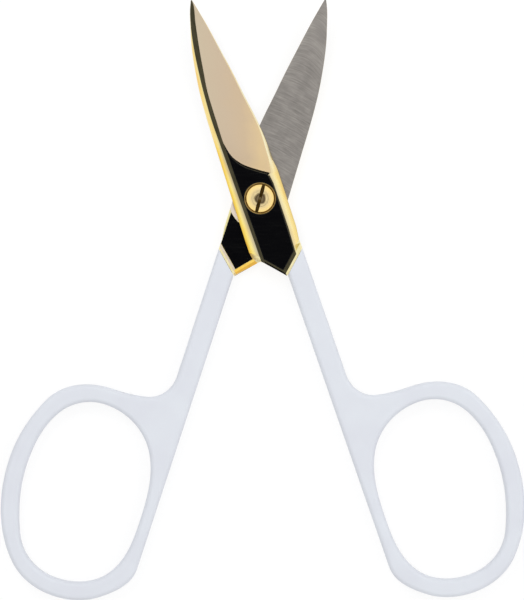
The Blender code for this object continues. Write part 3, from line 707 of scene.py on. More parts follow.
# Painted light: WELL, SLOT and SHADOW are painted shade; PALE, CREAM and BRIGHT painted highlights;
# WARM the painted shade of the chamfer's outer facet.
WELL = gold_with_painted_light("well_gold_with_painted_shade", "86703E", "A88E56")
SLOT = gold_with_painted_light("slot_gold_with_painted_shade", "2E2008", "4E3A18")
PALE = gold_with_painted_light("collar_gold_with_painted_highlight", "F0E4AE", "FAF0C2")
CREAM = gold_with_painted_light("relief_gold_with_painted_highlight", "FFEFA6", "FFF8BC")
WARM = gold_with_painted_light("outer_chamfer_gold_with_painted_shade", "E4B24A", "F0BE58")
BRIGHT = gold_with_painted_light("inner_chamfer_gold_with_painted_highlight", "FCCE58", "FFDC70")
SHADOW = gold_with_painted_light("painted_shadow_of_shoulder_and_lip", "0A0908", "16140F")
print(len(bpy.data.materials), "materials")


# %% [markdown]
# ## Curves that follow shares
# An outline is a few points with headings, joined by arcs. A table of shares gives a smooth curve that
# never overshoots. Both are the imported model's own rules, drawn here in finer steps.

# %% Smooth tables and arcs
ARC_STEPS = 16
STRAIGHT_LIMIT = math.radians(1)


def mix(start, end, share):
    return start + (end - start) * share


def share_at(table, place):
    """Value of a table of shares at a place, on a smooth curve that never overshoots."""
    places = [row[0] for row in table]
    values = [row[1] for row in table]
    if place <= places[0]:
        return values[0]
    if place >= places[-1]:
        return values[-1]
    slopes = [(values[i + 1] - values[i]) / (places[i + 1] - places[i])
              for i in range(len(table) - 1)]
    tangents = [slopes[0]]
    for before, after in zip(slopes, slopes[1:]):
        together = before * after > 0
        tangents.append(2 * before * after / (before + after) if together else 0)
    tangents.append(slopes[-1])
    i = max(k for k in range(len(table) - 1) if places[k] <= place)
    span = places[i + 1] - places[i]
    t = (place - places[i]) / span
    leave = t * (1 - t) * (1 - t) * span * tangents[i]
    arrive = t * t * (t - 1) * span * tangents[i + 1]
    return mix(values[i], values[i + 1], t * t * (3 - 2 * t)) + leave + arrive


def arc_points(start, end, steps):
    """Points from one (x, y, heading) to before the next, close to a circular arc."""
    chord = math.hypot(end[0] - start[0], end[1] - start[1])
    first, last = math.radians(start[2]), math.radians(end[2])
    turn = abs(math.remainder(last - first, math.tau))
    bent = turn > STRAIGHT_LIMIT
    pull = chord * (2 * math.tan(turn / 4) / math.sin(turn / 2) if bent else 1)
    points = []
    for step in range(steps if bent else 1):
        t = step / steps
        rise = t * t * (3 - 2 * t)
        leave, arrive = t * (1 - t) * (1 - t) * pull, t * t * (t - 1) * pull
        points.append((mix(start[0], end[0], rise) + leave * math.cos(first)
                       + arrive * math.cos(last),
                       mix(start[1], end[1], rise) + leave * math.sin(first)
                       + arrive * math.sin(last)))
    return points


# %% Outlines of the handle
RING_OUTLINE_SHARES = [(0.0, 0.24, -90), (0.166, 0.0655, -37), (0.456, 0.0, 0), (0.776, 0.091, 46),
                       (1.0, 0.54, 90), (0.8915, 0.857, 117), (0.516, 1.0, 180),
                       (0.284, 1.015, 167)]
FINGER_HOLE_SHARES = [(0.0, 0.441, 90), (0.0925, 0.814, 62), (0.555, 1.0, 0), (0.8815, 0.878, -56),
                      (1.0, 0.545, -90), (0.876, 0.1665, -114), (0.4885, 0.0, 180),
                      (0.0925, 0.1305, 123)]


def handle_outline():
    """The shank and ring's outline, counterclockwise, run up past the end of the coat."""
    left, right = SHANK_CLEARANCE, SHANK_CLEARANCE + RING_WIDTH
    ring_end, ring_top = -HANDLE_REACH, -HANDLE_REACH + RING_LENGTH
    shank_edge = SHANK_CLEARANCE + SHANK_WIDTH
    nodes = [(left, -STEP_REACH, -90)]
    nodes += [(mix(left, right, across), mix(ring_end, ring_top, up), heading)
              for across, up, heading in RING_OUTLINE_SHARES]
    nodes += [(shank_edge, ring_top + RING_FILLET, 90), (shank_edge, -NECK_REACH, 90)]
    points = []
    for start, end in zip(nodes, nodes[1:]):
        points += arc_points(start, end, ARC_STEPS)
    return points + [(shank_edge, -NECK_REACH), (left, -NECK_REACH)]


def finger_hole_outline():
    """The finger hole's outline, clockwise, so that its outside is the hole."""
    left = SHANK_CLEARANCE + RING_BAND_INNER
    right = SHANK_CLEARANCE + RING_WIDTH - RING_BAND_OUTER
    low = -HANDLE_REACH + RING_BAND_END
    high = -HANDLE_REACH + RING_LENGTH - RING_BAND_TOP
    nodes = [(mix(left, right, across), mix(low, high, up), heading)
             for across, up, heading in FINGER_HOLE_SHARES]
    points = []
    for start, end in zip(nodes, nodes[1:] + nodes[:1]):
        points += arc_points(start, end, ARC_STEPS)
    return points


# %% [markdown]
# ## A plate with rounded edges, as a tree of nodes
# The handles and the lacquer fields are one kind of shape: a flat outline, perhaps with a hole, whose
# edge is rounded above and below. That is a rule, so Geometry Nodes make it. A half circle is pulled
# apart into the edge's profile, the profile is swept along every outline, and the flat faces are the
# same outlines moved in by the radius and filled. Bevelling a filled curve would do it too, but there
# the radius can't be changed on its own.

# %% Named inputs, set by identifier
def set_inputs(modifier, values):
    """Sets a tree's inputs by their names, which the modifier knows only by identifier."""
    for item in modifier.node_group.interface.items_tree:
        if item.name in values:
            modifier[item.identifier] = values[item.name]


def new_tree(name, inputs):
    tree = bpy.data.node_groups.new(name, "GeometryNodeTree")
    tree.interface.new_socket("Geometry", in_out='INPUT', socket_type='NodeSocketGeometry')
    tree.interface.new_socket("Geometry", in_out='OUTPUT', socket_type='NodeSocketGeometry')
    for label, kind in inputs:
        tree.interface.new_socket(label, in_out='INPUT', socket_type=f"NodeSocket{kind}")
    return tree, add(tree, "NodeGroupInput").outputs


# %% The rounded plate's tree
MERGE_DISTANCE = 0.0005 * MM


def rounded_plate_tree():
    tree, given = new_tree("rounded_plate", [("Thickness", "Float"), ("Edge Radius", "Float"),
                                             ("Inset", "Float"), ("Edge Points", "Int"),
                                             ("Material", "Material")])
    loops = add(tree, "GeometryNodeMeshToCurve", links={"Mesh": given["Geometry"]})
    upright = add(tree, "GeometryNodeSetCurveNormal", links={"Curve": loops.outputs[0]},
                  mode='Z_UP')
    outward = add(tree, "GeometryNodeInputNormal").outputs[0]
    back = add(tree, "ShaderNodeMath", {1: -1.0}, {0: given["Inset"]}, operation='MULTIPLY')
    inset = add(tree, "ShaderNodeVectorMath", links={0: outward, "Scale": back.outputs[0]},
                operation='SCALE')
    outline = add(tree, "GeometryNodeSetPosition", links={"Geometry": upright.outputs[0],
                                                          "Offset": inset.outputs[0]})
    arc = add(tree, "GeometryNodeCurveArc", {"Start Angle": -math.pi / 2, "Sweep Angle": math.pi},
              {"Resolution": given["Edge Points"], "Radius": given["Edge Radius"]})
    height = add(tree, "ShaderNodeSeparateXYZ",
                 links={"Vector": add(tree, "GeometryNodeInputPosition").outputs[0]}).outputs["Y"]
    side = add(tree, "ShaderNodeMath", links={0: height}, operation='SIGN')
    half = add(tree, "ShaderNodeMath", {1: 0.5}, {0: given["Thickness"]}, operation='MULTIPLY')
    wall = add(tree, "ShaderNodeMath", links={0: half.outputs[0], 1: given["Edge Radius"]},
               operation='SUBTRACT')
    apart = add(tree, "ShaderNodeMath", links={0: side.outputs[0], 1: wall.outputs[0]},
                operation='MULTIPLY')
    inward = add(tree, "ShaderNodeMath", {1: -1.0}, {0: given["Edge Radius"]},
                 operation='MULTIPLY')
    pulled = add(tree, "ShaderNodeCombineXYZ", links={"X": inward.outputs[0],
                                                      "Y": apart.outputs[0]})
    profile = add(tree, "GeometryNodeSetPosition", links={"Geometry": arc.outputs["Curve"],
                                                          "Offset": pulled.outputs[0]})
    swept = add(tree, "GeometryNodeCurveToMesh", links={"Curve": outline.outputs[0],
                                                        "Profile Curve": profile.outputs[0]})
    moved = add(tree, "ShaderNodeVectorMath", links={0: outward, "Scale": inward.outputs[0]},
                operation='SCALE')
    inner = add(tree, "GeometryNodeSetPosition", links={"Geometry": outline.outputs[0],
                                                        "Offset": moved.outputs[0]})
    filled = add(tree, "GeometryNodeFillCurve", links={"Curve": inner.outputs[0]})
    parts = [swept.outputs[0]]
    for sign in (1, -1):
        at = add(tree, "ShaderNodeMath", {1: sign}, {0: half.outputs[0]}, operation='MULTIPLY')
        lift = add(tree, "ShaderNodeCombineXYZ", links={"Z": at.outputs[0]})
        face = add(tree, "GeometryNodeTransform", links={"Geometry": filled.outputs[0],
                                                         "Translation": lift.outputs[0]})
        parts.append(face.outputs[0])
    joined = add(tree, "GeometryNodeJoinGeometry")
    for part in parts:
        tree.links.new(part, joined.inputs[0])
    merged = add(tree, "GeometryNodeMergeByDistance", {"Distance": MERGE_DISTANCE},
                 {"Geometry": joined.outputs[0]})
    made = add(tree, "GeometryNodeRealizeInstances", links={"Geometry": merged.outputs[0]})
    dressed = add(tree, "GeometryNodeSetMaterial", links={"Geometry": made.outputs[0],
                                                          "Material": given["Material"]})
    add(tree, "NodeGroupOutput", links={0: dressed.outputs[0]})
    return tree


ROUNDED_PLATE = rounded_plate_tree()
print("tree", ROUNDED_PLATE.name, "with", len(ROUNDED_PLATE.nodes), "nodes")


# %% From an object with modifiers to a plain mesh
def new_object(name, mesh):
    item = bpy.data.objects.new(name, mesh)
    bpy.context.scene.collection.objects.link(item)
    return item


def plain_mesh(item):
    """The evaluated mesh of an object, which is then removed, with its normals made to agree."""
    bpy.context.view_layer.update()
    evaluated = item.evaluated_get(bpy.context.evaluated_depsgraph_get())
    mesh = bpy.data.meshes.new_from_object(evaluated)
    mesh.name = item.name
    bpy.data.objects.remove(item, do_unlink=True)
    work = bmesh.new()
    work.from_mesh(mesh)
    bmesh.ops.remove_doubles(work, verts=work.verts, dist=MERGE_DISTANCE)
    bmesh.ops.recalc_face_normals(work, faces=work.faces)
    work.to_mesh(mesh)
    work.free()
    return mesh


def rounded_plate(name, outlines, low, high, radius, edge_points, finish, inset=0.0):
    """A plate between two heights from outlines: counterclockwise outside, clockwise holes."""
    points, edges = [], []
    for outline in outlines:
        start, count = len(points), len(outline)
        points += [(x, y, 0.0) for x, y in outline]
        edges += [(start + i, start + (i + 1) % count) for i in range(count)]
    mesh = bpy.data.meshes.new(name)
    mesh.from_pydata(points, edges, [])
    item = new_object(name, mesh)
    modifier = item.modifiers.new("Rounded plate", 'NODES')
    modifier.node_group = ROUNDED_PLATE
    set_inputs(modifier, {"Thickness": high - low, "Edge Radius": radius, "Inset": inset,
                          "Edge Points": edge_points, "Material": finish})
    mesh = plain_mesh(item)
    mesh.transform(Matrix.Translation((0, 0, (low + high) / 2)))
    return mesh


# %% [markdown]
# ## Cutting
# A forging is joined and cut from simple solids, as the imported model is. Booleans keep one solid
# closed, which a pile of overlapping shells doesn't. Each cutter carries the finish that its cut leaves
# behind, and the Boolean hands it over.

# %% Cutters and Booleans
ROUND_STEPS = 96


def tool_collection(name):
    collection = bpy.data.collections.new(name)
    bpy.context.scene.collection.children.link(collection)
    return collection


def add_tool(collection, mesh):
    collection.objects.link(bpy.data.objects.new(mesh.name, mesh))


def prism(name, outline, low, high, finish):
    """A straight-sided solid between two heights on one closed outline."""
    work = bmesh.new()
    floor = work.faces.new([work.verts.new((x, y, low)) for x, y in outline])
    pushed = bmesh.ops.extrude_face_region(work, geom=[floor])
    raised = [part for part in pushed["geom"] if isinstance(part, bmesh.types.BMVert)]
    bmesh.ops.translate(work, verts=raised, vec=(0, 0, high - low))
    bmesh.ops.recalc_face_normals(work, faces=work.faces)
    mesh = bpy.data.meshes.new(name)
    work.to_mesh(mesh)
    work.free()
    mesh.materials.append(finish)
    return mesh


def round_tool(name, radius, low, high, top_radius, finish):
    work = bmesh.new()
    bmesh.ops.create_cone(work, cap_ends=True, segments=ROUND_STEPS, radius1=radius,
                          radius2=top_radius, depth=high - low,
                          matrix=Matrix.Translation((0, 0, (low + high) / 2)))
    mesh = bpy.data.meshes.new(name)
    work.to_mesh(mesh)
    work.free()
    mesh.materials.append(finish)
    return mesh


def slanted_tool(name, profile, finish):
    """A long bar along the V's right side, from a profile of (distance up from its line, z)."""
    mesh = prism(name, profile, -HANDLE_REACH, HANDLE_REACH, finish)
    mesh.transform(Matrix.Translation((0, -COAT_REACH, 0)) @ Matrix.Rotation(V_ANGLE, 4, 'Z')
                   @ Matrix.Rotation(math.pi / 2, 4, 'Z') @ Matrix.Rotation(math.pi / 2, 4, 'X'))
    return mesh


def chamfer_tool(name, inner, outer, finish):
    """A bar along the V's free side, whose upper face runs from one (way in, height) to another."""
    slope = (outer[1] - inner[1]) / (inner[0] - outer[0])
    profile = [inner, (inner[0], -OVERRUN), (-OVERRUN, -OVERRUN),
               (-OVERRUN, inner[1] + slope * (inner[0] + OVERRUN))]
    mesh = prism(name, profile, CHAMFER_START, CHAMFER_END, finish)
    mesh.transform(Matrix.Scale(-1, 4, (1, 0, 0)) @ Matrix.Translation((0, -V_TIP_REACH, 0))
                   @ Matrix.Rotation(V_FREE_ANGLE, 4, 'Z') @ Matrix.Rotation(math.pi / 2, 4, 'Z')
                   @ Matrix.Rotation(math.pi / 2, 4, 'X'))
    mesh.flip_normals()
    return mesh


def cut(mesh, tools, operation='DIFFERENCE'):
    """The mesh after one Boolean with a whole collection of tools, which is then removed."""
    item = new_object(mesh.name, mesh)
    modifier = item.modifiers.new("Cut", 'BOOLEAN')
    modifier.operation = operation
    modifier.operand_type = 'COLLECTION'
    modifier.collection = tools
    modifier.material_mode = 'TRANSFER'
    result = plain_mesh(item)
    for tool in list(tools.objects):
        bpy.data.objects.remove(tool, do_unlink=True)
    bpy.data.collections.remove(tools)
    return result


# %% [markdown]
# ## Setting a piece in place
# A finished piece keeps its object at the origin. Its mesh is marked with each point's closed place,
# shaded smooth with sharp edges where two flats meet, weighted so that flats stay flat beside their
# rounded edges, and moved to where its half lies.

# %% Finish and place a piece
SHARP_ANGLE = math.radians(32)
LEVEL_LIMIT = 0.99999


def set_in_place(name, mesh, side, node, body=None, flat_tops=False):
    """Marks, smooths and moves a piece's mesh, hangs the piece on its body and hides the imported node.
    """
    place = mesh.attributes.new("closed_place", 'FLOAT_VECTOR', 'POINT')
    for value, vertex in zip(place.data, mesh.vertices):
        value.vector = vertex.co / MM
    mesh.transform(half_place(side))
    mesh.name = name
    mesh.shade_smooth()
    mesh.set_sharp_from_angle(angle=SHARP_ANGLE)
    if flat_tops:
        for face in mesh.polygons:
            face.use_smooth = abs(face.normal.z) < LEVEL_LIMIT
    piece = new_object(name, mesh)
    even = piece.modifiers.new("Weighted normals", 'WEIGHTED_NORMAL')
    even.keep_sharp = True
    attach(piece, body or side)
    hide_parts(node)
    print(name, "has", len(mesh.polygons), "faces")
    return piece


# %% [markdown]
# ## Handle coats
# The coat is a wall 0.3 mm thick round the slimmer steel. It is the rounded plate of the handle's
# outline, hollowed by the same plate moved in by the wall, and cut off square along the V.

# %% The coats of both halves
HANDLE_MIDDLE = -RUNNING_GAP / 2
HANDLE_EDGE_POINTS = 16
HANDLE_OUTLINES = [handle_outline(), finger_hole_outline()]


def handle_mesh(name, shrink, finish):
    """The shank and ring at their coated size, or shrunk evenly on every side."""
    half = HANDLE_THICKNESS / 2 - shrink
    radius = max(HANDLE_EDGE_RADIUS - shrink, HANDLE_EDGE_RADIUS / 2)
    return rounded_plate(name, HANDLE_OUTLINES, HANDLE_MIDDLE - half, HANDLE_MIDDLE + half, radius,
                         HANDLE_EDGE_POINTS, finish, shrink)


def above_coat(name, lift, finish):
    """Removes a handle above the line where the coat ends, raised by the given lift."""
    far, tall = HANDLE_REACH / 2, HANDLE_THICKNESS
    return slanted_tool(name, [(lift, -tall), (far, -tall), (far, tall), (lift, tall)], finish)


def handle_coat(side):
    tools = tool_collection("coat_tools")
    add_tool(tools, handle_mesh("hollow", COAT_WALL, COAT))
    add_tool(tools, above_coat("coat_end", -COAT_GAP, COAT))
    mesh = cut(handle_mesh("coat", 0.0, COAT), tools)
    set_in_place(f"{side}_white_coat", mesh, side, f"{side}_handle_coat")


for side in ("front", "rear"):
    handle_coat(side)

# %% [markdown]
# ## Forgings
# A forging is a loft: one closed section after another, from the V over the joint plate and along the
# blade to the tip. The section has nine corners, and every corner is turned into a small round, so
# that each edge catches the light as a polished edge does. Strips between corners have their own
# finish, which is why the loft is written face by face instead of being carved from a block.

# %% Shares of the blade
SPINE_SHARES = [(0.0, 1.0), (0.3, 0.975), (0.436, 0.942), (0.554, 0.88), (0.671, 0.76),
                (0.785, 0.592), (0.896, 0.345), (0.952, 0.2), (1.0, 0.03)]
EDGE_SHARES = [(0.112, 1.0), (0.155, 0.957), (0.25, 0.948), (0.36, 0.872), (0.486, 0.728),
               (0.614, 0.586), (0.742, 0.419), (0.872, 0.239), (0.938, 0.13), (1.0, 0.02)]
BAND_OUTER_SHARES = [(0.31, 0.1), (0.436, 0.087), (0.554, 0.095), (0.671, 0.093), (0.785, 0.08),
                     (0.896, 0.03), (1.0, 0.02)]
BAND_INNER_SHARES = [(0.31, 0.172), (0.436, 0.179), (0.554, 0.19), (0.671, 0.238), (0.785, 0.3),
                     (0.896, 0.39), (0.952, 0.6), (0.975, 0.75), (1.0, 0.85)]
EDGE_BEVEL_SHARES = [(0.1, 0.16), (0.118, 0.14), (0.138, 0.11), (0.166, 0.085), (0.228, 0.066),
                     (0.277, 0.05), (0.36, 0.03), (1.0, 0.025)]
GROUND_HEIGHT_SHARES = [(0.108, 0.75), (0.155, 0.68), (0.25, 0.36), (0.36, 0.05), (0.45, 0.03),
                        (1.0, 0.03)]
THICKNESS_SHARES = [(0.31, 1.0), (0.5, 0.9), (0.7, 0.74), (0.85, 0.58), (0.95, 0.42), (1.0, 0.3)]
SHOULDER_SPINE_SHARE = 0.304
SHOULDER_EDGE_SHARE = 0.1
SHOULDER_ACROSS_SHARES = [(0.0, 0.0), (0.25, 0.086), (0.5, 0.305), (0.75, 0.65), (1.0, 1.0)]
SHOULDER_FALL_SHARES = [(0.0, 0.0), (0.25, 0.309), (0.5, 0.58), (0.75, 0.81), (1.0, 1.0)]
SLANT_FADE_POWER = 2.5
CURVE_FADE_POWER = 3

# %% Sections across the plate and the blade
TOP_POINTS = 15
FACE_FIRST, FACE_LAST = 3, TOP_POINTS + 4
BLADE_STATIONS = 64
TOP_SHARES = [(i + 1) / (TOP_POINTS + 1) for i in range(TOP_POINTS)]


def blade_lift(x, y):
    """The blade's upward curve: a surface turned about the pivot, so two blades never meet."""
    past = max(0.0, math.hypot(x, y) - BLADE_CURVE_START)
    return BLADE_RISE * (past / (BLADE_REACH - BLADE_CURVE_START)) ** 2


def plate_section(spine_edge, cut_edge, top_drop, middle=0.0):
    """(x, z) round the joint plate, from the spine's foot over the top to the middle below."""
    top = PLATE_THICKNESS - top_drop
    narrow = cut_edge / HALF_WIDTH
    section = [(-spine_edge, 0), (-spine_edge, PLATE_LIP),
               (-HALF_WIDTH + SPINE_SLOPE_RUN, PLATE_THICKNESS - SPINE_BEVEL_DROP),
               (FACE_LEFT, top)]
    section += [(mix(FACE_LEFT, middle, 2 * share) if share < 0.5
                 else mix(middle, FACE_RIGHT * narrow, 2 * share - 1), top) for share in TOP_SHARES]
    section += [(FACE_RIGHT * narrow, top),
                ((FACE_RIGHT + EDGE_BEVEL_RUN) * narrow, PLATE_THICKNESS - EDGE_BEVEL_DROP),
                (cut_edge, PLATE_LIP), (cut_edge, 0), (0, 0)]
    return [(x, min(z, top)) for x, z in section]


def blade_row(along, rise_sign):
    """One section of the blade, slanted at the shoulder and square near the tip."""
    spine_share = mix(SHOULDER_SPINE_SHARE, 1, along)
    slant = (SHOULDER_SPINE_SHARE - SHOULDER_EDGE_SHARE) * (1 - along) ** SLANT_FADE_POWER
    edge_share = spine_share - slant
    spine_y, edge_y = spine_share * BLADE_REACH, edge_share * BLADE_REACH
    spine_x = -share_at(SPINE_SHARES, spine_share) * HALF_WIDTH
    edge_x = share_at(EDGE_SHARES, edge_share) * HALF_WIDTH
    thickness = share_at(THICKNESS_SHARES, spine_share) * PLATE_THICKNESS
    ground = share_at(GROUND_HEIGHT_SHARES, edge_share)
    ground_low = mix(CUTTING_EDGE_THICKNESS, thickness, ground)
    lip = mix(CUTTING_EDGE_THICKNESS, PLATE_LIP, min(1, ground / GROUND_HEIGHT_SHARES[0][1]))
    band_outer = mix(spine_x, edge_x, share_at(BAND_OUTER_SHARES, spine_share))
    band_inner = mix(spine_x, edge_x, share_at(BAND_INNER_SHARES, spine_share))
    bevel_top = mix(edge_x, spine_x, share_at(EDGE_BEVEL_SHARES, edge_share))
    drop = SPINE_BEVEL_DROP / PLATE_THICKNESS
    points = [(spine_x, spine_y, 0), (spine_x, spine_y, thickness * PLATE_LIP / PLATE_THICKNESS),
              (band_outer, spine_y, thickness * (1 - drop)), (band_inner, spine_y, thickness)]
    fade = (1 - along) ** CURVE_FADE_POWER
    for share in TOP_SHARES:
        over = mix(share, share_at(SHOULDER_ACROSS_SHARES, share), fade)
        fall = mix(over, share_at(SHOULDER_FALL_SHARES, share), fade)
        points.append((mix(band_inner, bevel_top, over), mix(spine_y, edge_y, fall),
                       mix(thickness, ground_low, over)))
    bevel_share = EDGE_BEVEL_RUN / (EDGE_BEVEL_RUN + EDGE_SLOPE_RUN)
    points += [(bevel_top, edge_y, ground_low),
               (mix(bevel_top, edge_x, bevel_share), edge_y, mix(ground_low, lip, bevel_share)),
               (edge_x, edge_y, lip), (edge_x, edge_y, 0),
               ((spine_x + edge_x) / 2, (spine_y + edge_y) / 2, 0)]
    return [Vector((x, y, z + rise_sign * blade_lift(x, y))) for x, y, z in points]


def v_height(x, free_run, coated_run):
    """How high the V lies at x, once each of its two sides has moved up by its own run."""
    return max(-x * V_FREE_RISE + free_run, x * V_RISE + coated_run) - V_TIP_REACH


def v_point(free_run, coated_run):
    """The x at which the V's two sides then meet."""
    return (free_run - coated_run) / (V_FREE_RISE + V_RISE)


def v_rows():
    """The V's wall, the end of its lip and the end of its bevel."""
    rows = []
    for free_run, coated_run, drop, corner in zip(V_FREE_RUNS, V_COATED_RUNS, V_DROPS, SPINE_CORNER):
        row = []
        for x, z in plate_section(SPINE_HALF_WIDTH, V_HALF_WIDTH, drop,
                                  v_point(free_run, coated_run)):
            retreat = (V_LEAN - V_STOP_GAP) * (1 - z / PLATE_THICKNESS)
            row.append(Vector((x, v_height(x, free_run, coated_run) + retreat, z)))
        for point in row[:2]:
            point.x, point.y = -corner[0], -corner[1]
        rows.append(row)
    rows[0][0].x = (rows[0][0].y + V_TIP_REACH - V_FREE_RUNS[0]) / -V_FREE_RISE
    return rows


def plate_rows(rise_sign):
    """Sections of the joint plate: the V's three, the neck, the waist and the shoulder's foot."""
    neck = [Vector((x, -NECK_REACH, z))
            for x, z in plate_section(SPINE_HALF_WIDTH, NECK_HALF_WIDTH, 0)]
    foot = []
    for i, (point, (x, z)) in enumerate(zip(blade_row(0, rise_sign),
                                            plate_section(HALF_WIDTH, HALF_WIDTH, 0))):
        across = min(point.x, FACE_RIGHT) if i < FACE_LAST else x
        foot.append(Vector((across, point.y - SHOULDER_RUN, z)))
    waist = [low.lerp(high, (WAIST_REACH + NECK_REACH) / (high.y + NECK_REACH))
             for low, high in zip(neck, foot)]
    for point in foot[FACE_FIRST + 1:FACE_LAST]:
        point.x = min(point.x, FACE_RIGHT - SHOULDER_CORNER)
    for point in foot[FACE_LAST:FACE_LAST + 2]:
        point.x -= SHOULDER_CORNER
    return v_rows() + [neck, waist, foot]


# %% Rounded corners, across the sections and along them
CORNER_RADIUS = 0.045 * MM
ROW_RADIUS = 0.03 * MM
CORNER_LIMIT_SHARE = 0.35
CORNER_SPREAD = 0.1
SECTION_CORNERS = (0, 1, 2, FACE_FIRST, FACE_LAST, FACE_LAST + 1, FACE_LAST + 2, FACE_LAST + 3)
ROW_CORNERS = (1, 2, 5, 6)


def rounded_corner(before, corner, after, radius):
    """Three points of a small round in place of one corner."""
    points = []
    for end in (before, after):
        way = end - corner
        size = min(radius, way.length * CORNER_LIMIT_SHARE)
        points.append(corner + way.normalized() * size if way.length else corner.copy())
    middle = (points[0] + points[1]) / 4 + corner / 2
    return [points[0], middle, points[1]]


def section_places():
    """The strip coordinate of every point of a section, before corners are rounded."""
    places = [0.0, 1.0, 2.0, 3.0] + [3.0 + share for share in TOP_SHARES]
    return places + [4.0, 5.0, 6.0, 7.0, 8.0]


def rounded_line(points, places, corners, radius, closed):
    """A line of points and their coordinates, with its corners rounded."""
    count = len(points)
    line, coordinates = [], []
    for i, (point, place) in enumerate(zip(points, places)):
        if i in corners:
            after = points[(i + 1) % count] if closed else points[i + 1]
            line += rounded_corner(points[i - 1], point, after, radius)
            coordinates += [place - CORNER_SPREAD, place, place + CORNER_SPREAD]
        else:
            line.append(point)
            coordinates.append(place)
    return line, coordinates


def rounded_grid(rows):
    """Rows of points with every corner rounded, and the coordinates of its columns and rows."""
    grid = []
    for row in rows:
        line, columns = rounded_line(row, section_places(), SECTION_CORNERS, CORNER_RADIUS, True)
        grid.append(line)
    turned = []
    for column in zip(*grid):
        line, heights = rounded_line(list(column), list(range(len(rows))), ROW_CORNERS, ROW_RADIUS,
                                     False)
        turned.append(line)
    return [list(row) for row in zip(*turned)], columns, heights


# %% The finish of every strip
# Strips across: 0 the spine's wall, 1 its slope, 2 its bevel, 3 the face, 4 the cutting side's bevel,
# 5 its slope, 6 its wall, 7 and 8 the mating face. Zones along are named by the row they start from.
LIP_ROW, BEVEL_ROW, SHOULDER_ROW, BLADE_ROW = 0, 1, 5, 6
MIDDLE_TOP = 3.5
SHOULDER_END = 3.95


# Some finishes here paint light: SHADOW a painted shadow on the shoulder's step and the V's free lip,
# PALE a painted highlight, BEVEL and RIM painted dark reflections.
def strip_finish(place, zone):
    """Which finish a face has, from its place across the section and its zone along it."""
    strip = math.floor(place) % STRIP_COUNT
    if strip == 2:
        return BEVEL
    if strip in (3, 4) and zone == LIP_ROW:
        return SHADOW if place < MIDDLE_TOP else PALE
    if strip in (1, 5, 6) and zone <= BEVEL_ROW:
        return PALE
    if strip in (3, 4) and zone == BEVEL_ROW:
        return BEVEL
    if strip == 3:
        if zone >= BLADE_ROW:
            return CHAMPAGNE
        if zone == SHOULDER_ROW:
            return SHADOW if place < SHOULDER_END else PALE
        return RIM
    if strip == 4:
        return GOLD if zone >= SHOULDER_ROW else BEVEL
    return STEEL if strip in (7, 8) else GOLD


def loft_mesh(name, rise_sign):
    """The half's plate and blade as one loft, from the V to the tip."""
    rows = plate_rows(rise_sign)
    rows += [blade_row(i / BLADE_STATIONS, rise_sign) for i in range(BLADE_STATIONS + 1)]
    rows, columns, heights = rounded_grid(rows)
    finishes = [GOLD, BEVEL, RIM, SHADOW, CHAMPAGNE, STEEL, PALE]
    work = bmesh.new()
    strip_map = work.loops.layers.uv.new("strip")
    grid = [[work.verts.new(point) for point in row] for row in rows]
    count = len(columns)
    for r, (near, far) in enumerate(zip(grid, grid[1:])):
        zone = math.floor((heights[r] + heights[r + 1]) / 2)
        for i in range(count):
            j = (i + 1) % count
            place = columns[j] if j else columns[0] + STRIP_COUNT
            face = work.faces.new((near[i], near[j], far[j], far[i]))
            finish = strip_finish((columns[i] + place) / 2, zone)
            face.material_index = finishes.index(finish)
            spots = [(columns[i], heights[r]), (place, heights[r]), (place, heights[r + 1]),
                     (columns[i], heights[r + 1])]
            for loop, spot in zip(face.loops, spots):
                loop[strip_map].uv = spot
    middle_top = columns.index(MIDDLE_TOP)
    wall = grid[0]
    slope_top = columns.index(2.0)
    work.faces.new(wall[:slope_top + 1])
    work.faces.new([wall[0]] + wall[slope_top:middle_top + 1] + [wall[-1]])
    work.faces.new(wall[middle_top:])
    tip = work.faces.new(grid[-1])
    tip.material_index = finishes.index(BEVEL)
    bmesh.ops.recalc_face_normals(work, faces=work.faces)
    mesh = bpy.data.meshes.new(name)
    work.to_mesh(mesh)
    work.free()
    for finish in finishes:
        mesh.materials.append(finish)
    return mesh


# %% The outlines of the fields in the joint plate
RIDE_ARC_STEPS = 48


def arc_below_pivot(radius, first):
    """Points round the lower side of the pivot, from an angle under level to the same again."""
    turns = [math.pi + mix(first, math.pi - first, i / RIDE_ARC_STEPS)
             for i in range(RIDE_ARC_STEPS + 1)]
    return [(radius * math.cos(turn), radius * math.sin(turn)) for turn in turns]


def ride_relief_outline():
    """The mating face beyond the round ride, down to the V's step and the free side's edge."""
    edge = HALF_WIDTH + OVERRUN
    arc = arc_below_pivot(RIDE_RADIUS, RIDE_START)
    top = arc[0][1]
    inner = SHANK_CLEARANCE
    return ([(-edge, top)] + arc + [(edge, top), (edge, edge * V_RISE - STEP_REACH),
            (inner, inner * V_RISE - STEP_REACH), (0, -V_REACH - OVERRUN),
            (-edge, -V_REACH - OVERRUN)])


def inner_lacquer_outline():
    """The black field on the mating face, inside the relief and clear of the V's chamfer."""
    side = V_HALF_WIDTH - LACQUER_RIM
    radius = RIDE_RADIUS + LACQUER_RIM
    free = V_TIP_REACH - (CHAMFER_INNER[0] + LACQUER_RIM) / math.cos(V_FREE_ANGLE)
    coated = STEP_REACH - INNER_LACQUER_COAT_RIM / math.cos(V_ANGLE)
    middle = (coated - free) / (V_FREE_RISE + V_RISE)
    arc = arc_below_pivot(radius, math.acos(min(1, side / radius)))
    clockwise = arc + [(side, side * V_RISE - coated), (middle, middle * V_RISE - coated),
                       (-side, side * V_FREE_RISE - free)]
    return clockwise[::-1]


